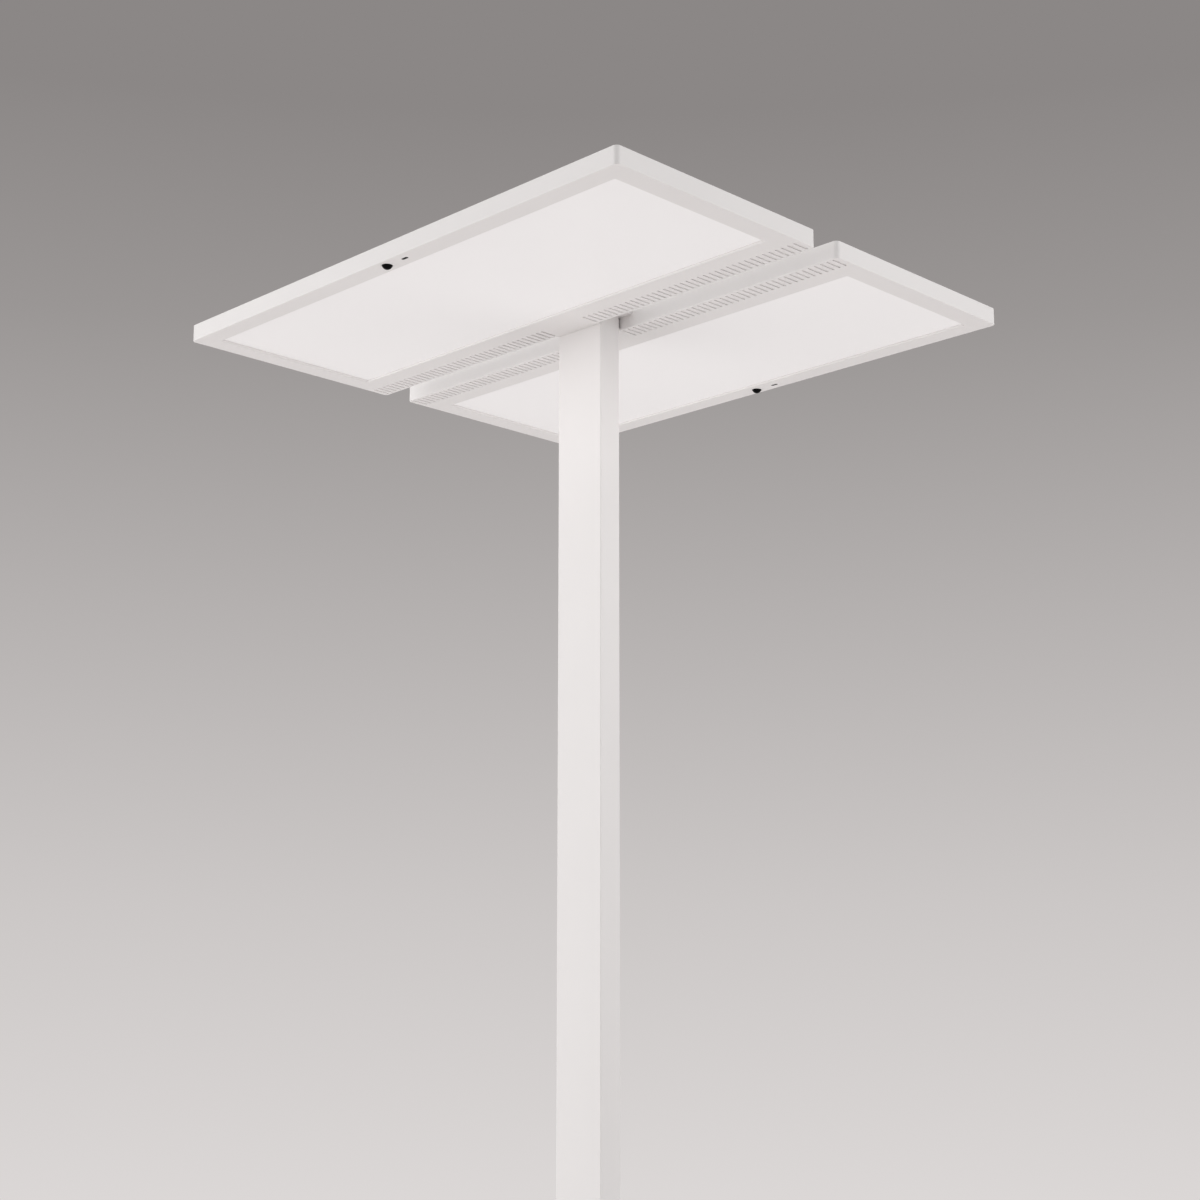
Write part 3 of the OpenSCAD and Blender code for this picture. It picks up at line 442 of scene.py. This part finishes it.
def moulded(name, colour, other, rough, grain=1500, depth=0.00004):
    """Moulded plastic with the fine grain of its tool."""
    material, tree, shader, where = new_surface(name)
    tint(tree, shader, where, colour, other, 40)
    spark = step(tree, "ShaderNodeTexVoronoi", {
        "Vector": where, "Scale": grain}, feature="SMOOTH_F1")
    wiped = step(tree, "ShaderNodeTexNoise", {"Vector": where, "Scale": 60, "Detail": 4})
    gloss(tree, shader, wiped.outputs["Fac"], rough - 0.05, rough + 0.07)
    relief(tree, shader, spark.outputs["Distance"], depth, 0.4)
    return material


def darker(colour, share):
    """The colour with only a share of its brightness."""
    return tuple(part * share for part in colour[:3]) + (1,)


def turned_steel(name, colour, rough, scale=(2500, 2500, 120)):
    """Metal with fine marks of the tool that made it."""
    material, tree, shader, where = new_surface(name)
    stretch = step(tree, "ShaderNodeMapping", {"Vector": where, "Scale": scale})
    marks = step(tree, "ShaderNodeTexNoise", {
        "Vector": stretch.outputs[0], "Scale": 1, "Detail": 3})
    tint(tree, shader, where, colour, darker(colour, 0.86), 90)
    gloss(tree, shader, marks.outputs["Fac"], rough - 0.06, rough + 0.1)
    relief(tree, shader, marks.outputs["Fac"], 0.00003, 0.35)
    shader.inputs["Metallic"].default_value = 1
    return material


black_moulded = moulded("black_moulded", srgb(38, 38, 40), srgb(46, 46, 48), 0.5)
zinc_steel = turned_steel("zinc_steel", srgb(196, 198, 202), 0.32)

facing_up = (0, 0, 0)
facing_down = (math.pi, 0, 0)

glide_x, glide_y = 0.205, 0.155
glide_places = [(sx * glide_x, sy * glide_y, 0) for sx in (-1, 1) for sy in (-1, 1)]
glide_radius, glide_thick = 0.015, 0.003
stem_radius, stem_top = 0.004, 0.009
sole_edge, upper_edge = 0.0007, 0.0005
sole = [(0.0025, 0), (0.0037, 0), (0.0042, 0.0005), (0.0072, 0.0005), (0.0077, 0)]
glide_section = (
    [(reach - glide_radius, rise) for reach, rise in sole]
    + quarter_round(sole_edge, -sole_edge, sole_edge, 3)
    + quarter_round(upper_edge, -upper_edge, glide_thick - upper_edge, 0)
    + [(stem_radius - glide_radius, glide_thick), (stem_radius - glide_radius, stem_top)])

glide = bmesh.new()
glide.faces.new(sweep(glide, ring_path(glide_radius, 48), glide_section))
close_flats(glide, 0)
glides = put_on_places("glides", glide, glide_places, facing_up, black_moulded, 3)
fit(glides, "lamp", "black_matte", "base_glides")

base_screw = screw_form(
    head_radius=0.0056, head_height=0.0030, shank_radius=0.0027, length=0.040, raised=False)
base_screws = put_on_places("base_screws_steel", base_screw,
                            [(x, y, base_low) for x, y in channels], facing_down, zinc_steel, 5)
fit(base_screws, "lamp", "steel", "base_screws")


# ------------------------------------------------------------------ column
# A drawn aluminium tube of 80 x 35 mm with slightly rounded corners, powder
# coated with the base. The inlet and the control panel are let into its rear.

column_long, column_wide, column_corner = 0.080, 0.035, 0.001
column_inner_long, column_inner_wide, column_inner_corner = 0.075, 0.030, 0.0005
column_low, column_high = base_high, 1.9445
column_rear = column_wide / 2
cut_edge = 0.0002

column = bmesh.new()
sweep(column, round_path(column_long, column_wide, column_corner, 6), [
    (-cut_edge, column_low), (0, column_low + cut_edge),
    (0, column_high - cut_edge), (-cut_edge, column_high)])
sweep(column, round_path(column_inner_long, column_inner_wide, column_inner_corner, 3), [
    (0, column_low), (0, column_high)])
close_flats(column, column_low, column_high)
column_tube = new_piece("column_tube", column)


def block(build, size, middle):
    """A plain block."""
    place = Matrix.Translation(middle) @ Matrix.Diagonal((*size, 1))
    bmesh.ops.create_cube(build, size=1, matrix=place)


inlet_height, panel_height, bush_height = 0.075, 1.080, 1.93675
inlet_opening = (0.0276, 0.010, 0.0202)
panel_opening = (0.0266, 0.010, 0.0706)
bush_hole, bush_hole_length = 0.0055, 0.050

openings = bmesh.new()
block(openings, inlet_opening, (0, column_rear, inlet_height))
block(openings, panel_opening, (0, column_rear, panel_height))
bmesh.ops.create_cone(
    openings, segments=32, radius1=bush_hole, radius2=bush_hole, depth=bush_hole_length,
    cap_ends=True,
    matrix=Matrix.Translation((0, 0, bush_height)) @ Matrix.Rotation(math.pi / 2, 4, "X"))
cutter = new_piece("column_openings", openings)
cut = column_tube.modifiers.new("openings", "BOOLEAN")
cut.object = cutter
cut.solver = "EXACT"
settle(column_tube)
bpy.data.objects.remove(cutter)
smooth(column_tube, white_coat)
fit(column_tube, "lamp", "white_metal", "column")


# ------------------------------------------------------------------ mains inlet
# A black moulded inlet for the mains lead, snapped into the column near the
# floor, with three bright pins at the bottom of its socket.

inlet_long, inlet_wide, inlet_corner, inlet_depth = 0.0270, 0.0196, 0.001, 0.020
flange_long, flange_wide, flange_corner, flange_thick = 0.0314, 0.0240, 0.002, 0.0025
flange_edge, moulded_edge = 0.0006, 0.0003
socket_long, socket_wide, bevelled, socket_floor = 0.0244, 0.0164, 0.004, -0.0140
pin_long, pin_wide, pin_corner = 0.002, 0.004, 0.0003
pin_places = ((-0.007, -0.002), (0.007, -0.002), (0, 0.002))
pin_end = [(0, -0.0020), (-0.0003, -0.0010), (-0.0007, -0.0005)]


def socket_path():
    """Points round the socket, whose two corners on the +y side are bevelled."""
    x, y = socket_long / 2, socket_wide / 2
    corners = [(x, -y), (x, y - bevelled), (x - bevelled, y),
               (bevelled - x, y), (-x, y - bevelled), (-x, -y)]
    points = []
    for i, corner in enumerate(corners):
        before = (Vector(corner) - Vector(corners[i - 1])).normalized()
        after = (Vector(corners[(i + 1) % 6]) - Vector(corner)).normalized()
        sides = Vector((before.y, -before.x)), Vector((after.y, -after.x))
        out = (sides[0] + sides[1]) / (1 + sides[0].dot(sides[1]))
        points.append((Vector(corner), out))
    return points


def let_in(build):
    """Turns a piece that is built facing up, so that it faces the rear of the column."""
    place = (Matrix.Translation((0, column_rear, inlet_height))
             @ Matrix.Rotation(-math.pi / 2, 4, "X"))
    bmesh.ops.transform(build, matrix=place, verts=build.verts)
    return build


inlet = bmesh.new()
inlet.faces.new(sweep(inlet, round_path(inlet_long, inlet_wide, inlet_corner, 5), [
    (0, 0), (0, moulded_edge - inlet_depth), (-moulded_edge, -inlet_depth)]))
sweep(inlet, round_path(flange_long, flange_wide, flange_corner, 8),
      [(-moulded_edge, 0), (0, moulded_edge)]
      + quarter_round(flange_edge, -flange_edge, flange_thick - flange_edge, 0))
inlet.faces.new(sweep(inlet, socket_path(), [
    (moulded_edge, flange_thick), (0.0001, flange_thick - 0.0001),
    (0, flange_thick - moulded_edge), (0, socket_floor)]))
close_flats(inlet, 0, flange_thick)
inlet_body = new_piece("inlet_body", let_in(inlet))
smooth(inlet_body, black_moulded)
fit(inlet_body, "lamp", "black_matte", "mains_inlet")

pins = bmesh.new()
for place in pin_places:
    pins.faces.new(sweep(pins, round_path(pin_long, pin_wide, pin_corner, 3, place),
                         [(0, socket_floor)] + pin_end))
close_flats(pins, socket_floor)
inlet_contacts = new_piece("inlet_contacts", let_in(pins))
smooth(inlet_contacts, zinc_steel)
fit(inlet_contacts, "lamp", "steel", "inlet_pins")


# ------------------------------------------------------------------ wiring inside the column
# Grey PVC cables run up from the inlet and the control panel to a white
# junction block, and through two rubber bushes into the heads.

def softened(name, node, edge, material, rounds=2):
    """The CAD node's own shape with its sharp edges broken."""
    build = bmesh.new()
    build.from_mesh(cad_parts[node].data)
    bmesh.ops.remove_doubles(build, verts=build.verts, dist=1e-6)
    bmesh.ops.dissolve_limit(build, angle_limit=math.radians(0.3), verts=build.verts,
                             edges=build.edges)
    piece = new_piece(name, build)
    smooth(piece, material, edge, rounds)
    return piece


def paint_node(material, *nodes):
    """Gives CAD nodes that keep their shape a better finish."""
    for node in nodes:
        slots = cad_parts[node].material_slots
        for slot in slots:
            slot.material = material
        if not slots:
            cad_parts[node].data.materials.append(material)


cable_pvc = moulded("cable_pvc", srgb(98, 98, 102), srgb(90, 90, 94), 0.45, 900, 0.00003)
white_moulded = moulded("white_moulded", srgb(231, 228, 226), srgb(225, 222, 220), 0.42)
black_rubber = moulded("black_rubber", srgb(34, 34, 35), srgb(42, 42, 43), 0.66, 1100, 0.00005)

paint_node(cable_pvc, "mains_cable", "head_cables", "control_cable")
paint_node(white_moulded, "junction_block")
rubber_bushes = softened("rubber_bushes", "cable_bushes", 0.0004, black_rubber)
fit(rubber_bushes, "lamp", "black_matte", "cable_bushes")


# ------------------------------------------------------------------ control panel
# A white moulded plate at hand height, with a raised socket screw at each end.
# Two grey push buttons, for brighter and dimmer, each with an engraved and inked
# arrow, stand on steel springs in front of the switches.

button_grey = moulded("button_grey", srgb(206, 204, 202), srgb(200, 198, 196), 0.5)
arrow_ink = moulded("arrow_ink", srgb(74, 74, 76), srgb(80, 80, 82), 0.6)
panel_face = column_rear + 0.002
panel_screw_rise = 0.0405
facing_rear = (-math.pi / 2, 0, 0)

panel_plate = softened("panel_plate", "control_panel", 0.0005, white_moulded, 3)
fit(panel_plate, "lamp", "white_plastic", "control_panel")
panel_screw = screw_form(
    head_radius=0.0026, head_height=0.0014, shank_radius=0.00125, length=0.0045, raised=True)
panel_screws = put_on_places(
    "panel_screws_steel", panel_screw,
    [(0, panel_face, panel_height + side * panel_screw_rise) for side in (-1, 1)],
    facing_rear, zinc_steel, 7)
fit(panel_screws, "lamp", "steel", "panel_screws")

button_rise = 0.015
button_face = panel_face + 0.0015
arrow_depth = 0.0003
arrow_tips = [(0, 0.0025), (-0.0021, -0.0012), (0.0021, -0.0012)]
arrow_layers = [(1, -0.0001), (1, 0.00008), (0.94, 0.00012)]

for button, side in (("brighter", 1), ("dimmer", -1)):
    body = button + "_button"
    button_cap = softened(button + "_cap", body, 0.0006, button_grey, 3)
    fit(button_cap, body, "button_plastic", body)
    middle = Vector((0, button_face - arrow_depth, panel_height + side * button_rise))
    arrow = bmesh.new()
    skin(arrow, [[middle + Vector((x * share, rise, side * z * share)) for x, z in arrow_tips]
                 for share, rise in arrow_layers])
    bmesh.ops.holes_fill(arrow, edges=arrow.edges)
    arrow_mark = new_piece(button + "_arrow", arrow)
    smooth(arrow_mark, arrow_ink)
    fit(arrow_mark, body, "black_matte")
paint_node(black_moulded, "push_switches")
paint_node(zinc_steel, "brighter_spring", "dimmer_spring")


# ------------------------------------------------------------------ circuit boards
# Green boards with fine copper tracks under the lacquer, for the buttons, the
# sensors and the LED strips. The boards of the upward light are lacquered white.

def circuit(name, colour, track, rough):
    """Solder resist over copper tracks."""
    material, tree, shader, where = new_surface(name)
    tracks = step(tree, "ShaderNodeTexBrick", {
        "Vector": where, "Color1": colour, "Color2": darker(colour, 0.93),
        "Mortar": track, "Scale": 160, "Mortar Size": 0.06, "Row Height": 0.5})
    tree.links.new(tracks.outputs["Color"], shader.inputs["Base Color"])
    grain = step(tree, "ShaderNodeTexNoise", {"Vector": where, "Scale": 300})
    gloss(tree, shader, grain.outputs["Fac"], rough - 0.05, rough + 0.05)
    relief(tree, shader, tracks.outputs["Fac"], 0.00004, 0.5)
    return material


green_board = circuit("green_board", srgb(30, 96, 62), srgb(52, 124, 84), 0.3)
white_board = circuit("white_board", srgb(232, 232, 230), srgb(220, 218, 214), 0.35)
paint_node(green_board, "control_board", "front_sensor_board", "rear_sensor_board",
           "front_led_strips", "rear_led_strips")
paint_node(white_board, "front_uplight_boards", "rear_uplight_boards")
paint_node(zinc_steel, "board_screws")


# ------------------------------------------------------------------ head carrier
# A white coated steel plate, screwed on top of the column, that reaches into
# both heads. A thin cap covers its screws between the heads, and two thin white
# seals close the narrow gaps between the column and the heads from below.

seal_size = (0.079, 0.00305, 0.0018)
seal_out, seal_height = 0.019175, 1.9285

carrier_plate = softened("carrier_plate", "head_carrier", 0.0004, white_coat)
fit(carrier_plate, "lamp", "white_metal", "head_carrier")
carrier_cover = softened("carrier_cover", "carrier_cap", 0.0003, white_coat)
fit(carrier_cover, "lamp", "white_metal", "carrier_cap")
paint_node(zinc_steel, "carrier_screws", "head_screws")

seals = bmesh.new()
for side in (-1, 1):
    block(seals, seal_size, (0, side * seal_out, seal_height))
gap_seals = new_piece("gap_seals", seals)
smooth(gap_seals, white_moulded, 0.0002)
fit(gap_seals, "lamp", "white_plastic")


# ------------------------------------------------------------------ the two heads
# Each head is a folded steel tray, powder coated white, with a cover that lies
# flush in its top. Rows of punched slots run along the gap side, and a window
# lies near the other side. The front head is the rear one mirrored.

heads = (("front", -1), ("rear", 1))
head_low, head_gap = 1.9275, 0.0415
head_long, head_wide, head_thick = 0.815, 0.340, 0.0225
head_corner, head_rounding = 0.006, 0.001
sheet = 0.0015
brim = 0.0002
punched_edge = 0.0002

slot_count, slot_long, slot_wide = 38, 0.0265, 0.0034
slot_inset, first_slot, slot_end = 0.0036, 0.040, 0.0093
slot_pitch = (head_long / 2 - slot_end - first_slot) / (slot_count - 1)

slot_tree, given = new_tree("ventilation_slots", {
    "Slots in a Row": "Int", "Pitch": "Float", "First Slot": "Float", "Slot Length": "Float",
    "Slot Width": "Float", "Row Middle": "Float", "Lower Face": "Float",
    "Upper Face": "Float", "Broken Edge": "Float", "Material": "Material"})


def sum_of(operation, a, b=0.0):
    """One sum on numbers in the slots' tree."""
    return step(slot_tree, "ShaderNodeMath", {0: a, 1: b}, operation=operation).outputs[0]


slot_sides = 16
half_width = sum_of("MULTIPLY", given["Slot Width"], 0.5)
half_depth = sum_of("MULTIPLY", sum_of("SUBTRACT", given["Upper Face"], given["Lower Face"]), 0.5)
middle_depth = sum_of("MULTIPLY", sum_of("ADD", given["Upper Face"], given["Lower Face"]), 0.5)
straight = sum_of("SUBTRACT", sum_of("MULTIPLY", given["Slot Length"], 0.5), half_width)
tube = step(slot_tree, "GeometryNodeMeshCylinder", {
    "Vertices": slot_sides, "Side Segments": 3, "Radius": 1.0, "Depth": 2.0}, fill_type="NONE")
half_turn = step(slot_tree, "GeometryNodeTransform", {
    "Geometry": tube.outputs["Mesh"], "Rotation": (0, 0, math.pi / slot_sides)})
was = step(slot_tree, "GeometryNodeInputPosition")
axes = step(slot_tree, "ShaderNodeSeparateXYZ", {0: was.outputs[0]}).outputs
at_face = sum_of("GREATER_THAN", sum_of("ABSOLUTE", axes["Z"]), 0.8)
broken = sum_of("MULTIPLY", at_face, given["Broken Edge"])
radius = sum_of("ADD", half_width, broken)
inner_depth = sum_of("ADD", sum_of("SUBTRACT", half_depth, given["Broken Edge"]), broken)
slot_points = step(slot_tree, "ShaderNodeCombineXYZ", {
    "X": sum_of("MULTIPLY", axes["X"], radius),
    "Y": sum_of("ADD", sum_of("MULTIPLY", axes["Y"], radius),
                sum_of("MULTIPLY", sum_of("SIGN", axes["Y"]), straight)),
    "Z": sum_of("ADD", middle_depth,
                sum_of("MULTIPLY", sum_of("SIGN", axes["Z"]), inner_depth))})
slot_wall = step(slot_tree, "GeometryNodeSetPosition", {
    "Geometry": half_turn.outputs[0], "Position": slot_points.outputs[0]})
rows = step(slot_tree, "GeometryNodeJoinGeometry")
for side in (-1.0, 1.0):
    start = step(slot_tree, "ShaderNodeCombineXYZ", {
        "X": sum_of("MULTIPLY", given["First Slot"], side), "Y": given["Row Middle"]})
    stride = step(slot_tree, "ShaderNodeCombineXYZ", {
        "X": sum_of("MULTIPLY", given["Pitch"], side)})
    row = step(slot_tree, "GeometryNodeMeshLine", {
        "Count": given["Slots in a Row"], "Start Location": start.outputs[0],
        "Offset": stride.outputs[0]})
    slot_tree.links.new(row.outputs[0], rows.inputs[0])
slots_placed = step(slot_tree, "GeometryNodeInstanceOnPoints", {
    "Points": rows.outputs[0], "Instance": slot_wall.outputs[0]})
end_tree(slot_tree, slots_placed.outputs[0], given["Material"])


def slots_through(build, low, high):
    """Adds the walls of the two rows of slots through a sheet."""
    rows_piece = new_piece("slot_rows", bmesh.new())
    grow(rows_piece, slot_tree, {
        "Slots in a Row": slot_count, "Pitch": slot_pitch, "First Slot": first_slot,
        "Slot Length": slot_long, "Slot Width": slot_wide,
        "Row Middle": slot_inset + slot_long / 2, "Lower Face": low, "Upper Face": high,
        "Broken Edge": punched_edge, "Material": white_coat})
    build.from_mesh(rows_piece.data)
    bpy.data.objects.remove(rows_piece)


def hang(build, side):
    """Moves a head's piece from the head's own frame to its place in the lamp."""
    place = Matrix.Diagonal((1, side, 1, 1)) @ Matrix.Translation((0, head_gap / 2, head_low))
    bmesh.ops.transform(build, matrix=place, verts=build.verts)
    return build


window_middle = (0, 0.18525)
window_corner = 0.0012
window_long, window_wide, window_fold = 0.753, 0.2525, 0.002
pocket_long, pocket_wide, ledge = 0.7616, 0.2631, 0.003
rib_long, rib_wide, rib_top = 0.7640, 0.2655, 0.0096
carrier_notch, notch_wall, carrier_low = 0.0613, 1e-6, 0.017
sensor_line, lens_radius, lens_hole_edge = 0.3272, 0.0068, 0.0003
light_sensor_x, light_sensor_long, light_sensor_wide = 0.034, 0.0111, 0.0043
light_sensor_corner = 0.00214


def tray():
    """Floor and walls of a head, with the ledge and rib round its window."""
    build = bmesh.new()
    slots_through(build, 0, sheet)
    outline = round_path(head_long, head_wide, head_corner, 10, (0, head_wide / 2))
    corner_end = len(outline) * 3 // 4
    outline[corner_end:corner_end] = [
        (Vector((x, 0)), Vector((0, -1))) for x in (
            -carrier_notch, notch_wall - carrier_notch, carrier_notch - notch_wall, carrier_notch)]
    sweep(build, outline, quarter_round(head_rounding, -head_rounding, head_rounding, 3)
          + quarter_round(brim, -brim, head_thick - brim, 0, 2)
          + quarter_round(brim, brim - sheet, head_thick - brim, 1, 2) + [(-sheet, sheet)])
    for vert in build.verts:
        in_notch = abs(vert.co.x) < carrier_notch - notch_wall / 2 and vert.co.y < sheet + 0.0001
        if in_notch and vert.co.z > carrier_low:
            vert.co.z = carrier_low
    window = round_path(window_long, window_wide, window_corner, 4, window_middle)
    pocket = round_path(pocket_long, pocket_wide, window_corner, 4, window_middle)
    rib = round_path(rib_long, rib_wide, window_corner, 4, window_middle)
    fold = quarter_round(window_fold, window_fold, window_fold, 2)
    skin(build, [ring(window, offset, height) for offset, height in reversed(fold)]
         + [ring(window, 0, ledge), ring(pocket, 0, ledge), ring(pocket, 0, rib_top),
            ring(rib, 0, rib_top), ring(rib, 0, sheet)])
    sweep(build, ring_path(lens_radius, 32, (0, sensor_line)), [
        (lens_hole_edge, 0), (0, lens_hole_edge), (0, sheet)])
    light_sensor = round_path(light_sensor_long, light_sensor_wide, light_sensor_corner, 6,
                              (light_sensor_x, sensor_line))
    sweep(build, light_sensor, [(punched_edge, 0), (0, punched_edge), (0, sheet)])
    close_flats(build, 0, sheet)
    return build


cover_low = head_thick - sheet
cover_long, cover_wide, cover_corner = head_long - 0.0036, head_wide - 0.0036, 0.0045
cover_edge = 0.00025
uplight_long, uplight_wide, uplight_corner = 0.640, 0.180, 0.0033
cover_screw_hole, cover_screw_sink = 0.0013, 0.0014
cover_screw_x, cover_screw_near, cover_screw_far = 0.4004, 0.03465, 0.3329
cover_screw_places = [(x, y) for x in (-cover_screw_x, cover_screw_x)
                      for y in (cover_screw_near, cover_screw_far)] + [
    (x, cover_screw_far) for x in (-head_long / 6, head_long / 6)]


def cover():
    """Flat cover of a head, with its slots, the uplight's opening and the sunk screw holes."""
    build = bmesh.new()
    slots_through(build, cover_low, head_thick)
    sweep(build, round_path(cover_long, cover_wide, cover_corner, 8, (0, head_wide / 2)),
          [(0, cover_low)]
          + quarter_round(cover_edge, -cover_edge, head_thick - cover_edge, 0, 3))
    sweep(build, round_path(uplight_long, uplight_wide, uplight_corner, 6, window_middle),
          [(0, cover_low)]
          + quarter_round(cover_edge, cover_edge, head_thick - cover_edge, 1, 3)[::-1])
    for spot in cover_screw_places:
        sweep(build, ring_path(cover_screw_hole, 20, spot), [
            (0, cover_low), (0, cover_low + 0.0001),
            (cover_screw_sink, head_thick - 0.0001), (cover_screw_sink, head_thick)])
    close_flats(build, cover_low, head_thick)
    return build


for head, side in heads:
    head_tray = new_piece(head + "_tray", hang(tray(), side))
    smooth(head_tray, white_coat)
    fit(head_tray, "lamp", "white_metal", head + "_housing")
    head_cover = new_piece(head + "_cover", hang(cover(), side))
    smooth(head_cover, white_coat)
    fit(head_cover, "lamp", "white_metal", head + "_top_cover")

cover_screw = screw_form(
    head_radius=0.0026, head_height=0.0014, shank_radius=0.00125, length=0.0062, raised=False)
cover_screws = put_on_places(
    "cover_screws_steel", cover_screw,
    [(x, side * (head_gap / 2 + y), head_low + head_thick - 0.0001)
     for head, side in heads for x, y in cover_screw_places], facing_up, zinc_steel, 11)
fit(cover_screws, "lamp", "steel", "cover_screws")


# ------------------------------------------------------------------ light windows
# Satin opal acrylic over an edge-lit acrylic guide, a white reflector film and
# an aluminium heat plate. The upward light's pane is the same acrylic. A weak
# lamp in each window's recess stands for the light that it throws on its rim.

def satin_acrylic(name, colour, other, glow):
    """Opal acrylic with a fine satin relief that spreads the light."""
    material, tree, shader, where = new_surface(name)
    tint(tree, shader, where, colour, other, 2.5, 1)
    satin = step(tree, "ShaderNodeTexVoronoi", {
        "Vector": where, "Scale": 900}, feature="SMOOTH_F1")
    haze = step(tree, "ShaderNodeTexNoise", {"Vector": where, "Scale": 15})
    gloss(tree, shader, haze.outputs["Fac"], 0.36, 0.44)
    relief(tree, shader, satin.outputs["Distance"], 0.00005, 0.35)
    shader.inputs["Emission Color"].default_value = colour
    shader.inputs["Emission Strength"].default_value = glow
    return material


opal_acrylic = satin_acrylic("opal_acrylic", srgb(243, 241, 241), srgb(241, 239, 239), 0.075)
pane_acrylic = satin_acrylic("pane_acrylic", srgb(236, 233, 232), srgb(232, 229, 228), 0.0)
clear_guide = moulded("clear_guide", srgb(226, 232, 234), srgb(220, 228, 231), 0.2)
reflector_film = moulded("reflector_film", srgb(246, 246, 246), srgb(242, 242, 242), 0.5)
plain_aluminium = turned_steel(
    "plain_aluminium", srgb(214, 216, 219), 0.36, (40, 1800, 1800))

glow_out, glow_height = head_gap / 2 + window_middle[1], head_low + 0.0027
glow_size, glow_power = (0.75, 0.25), 0.24
for head, side in heads:
    paint_node(opal_acrylic, head + "_diffuser")
    paint_node(clear_guide, head + "_light_guide")
    paint_node(reflector_film, head + "_reflector")
    paint_node(plain_aluminium, head + "_heat_plate")
    uplight_glass = softened(
        head + "_uplight_glass", head + "_uplight_pane", 0.0003, pane_acrylic)
    fit(uplight_glass, "lamp", "opal_plastic", head + "_uplight_pane")
    soft_lamp("window_glow", (0, side * glow_out, glow_height), (0, side * glow_out, 0),
              glow_size, glow_power)
paint_node(zinc_steel, "heat_plate_screws")


# ------------------------------------------------------------------ drivers and dust screens
# Each head holds an LED driver in an aluminium case and a controller in a white
# moulded one. A thin white fleece behind the slots keeps the dust out.

fleece, fleece_tree, fleece_shader, fleece_where = new_surface("fleece")
fibres = step(fleece_tree, "ShaderNodeTexNoise", {
    "Vector": fleece_where, "Scale": 1600, "Detail": 6, "Distortion": 2.5})
tint(fleece_tree, fleece_shader, fleece_where, srgb(234, 231, 230), srgb(222, 219, 218), 1600, 5)
relief(fleece_tree, fleece_shader, fibres.outputs["Fac"], 0.0002, 0.8)
fleece_shader.inputs["Roughness"].default_value = 0.95
fleece_shader.inputs["Sheen Weight"].default_value = 0.3

paint_node(plain_aluminium, "front_driver", "rear_driver")
paint_node(zinc_steel, "driver_screws")
paint_node(white_moulded, "front_controller", "rear_controller")
paint_node(fleece, "front_dust_screens", "rear_dust_screens")


# ------------------------------------------------------------------ sensors
# Under the outer side of each head sit a black presence lens, moulded in rings
# of small facets, and the small dark window of a light sensor.

black_lens = moulded("black_lens", srgb(8, 8, 9), srgb(11, 11, 12), 0.3, 2200, 0.00002)
lens_shader = black_lens.node_tree.nodes["Principled BSDF"]
lens_shader.inputs["Specular IOR Level"].default_value = 0.05
lens_drop = 0.0050
lens_rings = [0.0062, 0.0047, 0.0030, 0.0012]
facet_border, facet_rise = 0.00014, 0.00007
dome_radius = (lens_radius ** 2 + lens_drop ** 2) / (2 * lens_drop)


def dome_height(reach):
    """Height of the dome, which hangs below the head, at a distance from its middle."""
    return dome_radius - lens_drop - math.sqrt(dome_radius ** 2 - reach ** 2)


def presence_lens():
    """Faceted dome with the seat that holds it in the tray."""
    build = bmesh.new()
    build.faces.new(sweep(build, ring_path(lens_radius, 24, (0, sensor_line)),
                          [(0, sheet), (0, 0.0001)]
                          + [(reach - lens_radius, dome_height(reach)) for reach in lens_rings]))
    facets = [face for face in build.faces if face.calc_center_median().z < -0.0003]
    bmesh.ops.inset_individual(build, faces=facets, thickness=facet_border, depth=facet_rise)
    close_flats(build, sheet)
    return build


for head, side in heads:
    lens = new_piece(head + "_lens", hang(presence_lens(), side))
    smooth(lens, black_lens, corner=12)
    fit(lens, "lamp", "black_gloss", head + "_presence_lens")
    sensor_window = softened(head + "_sensor_window", head + "_light_sensor", 0.0003, black_lens)
    fit(sensor_window, "lamp", "black_gloss", head + "_light_sensor")


bpy.context.view_layer.update()
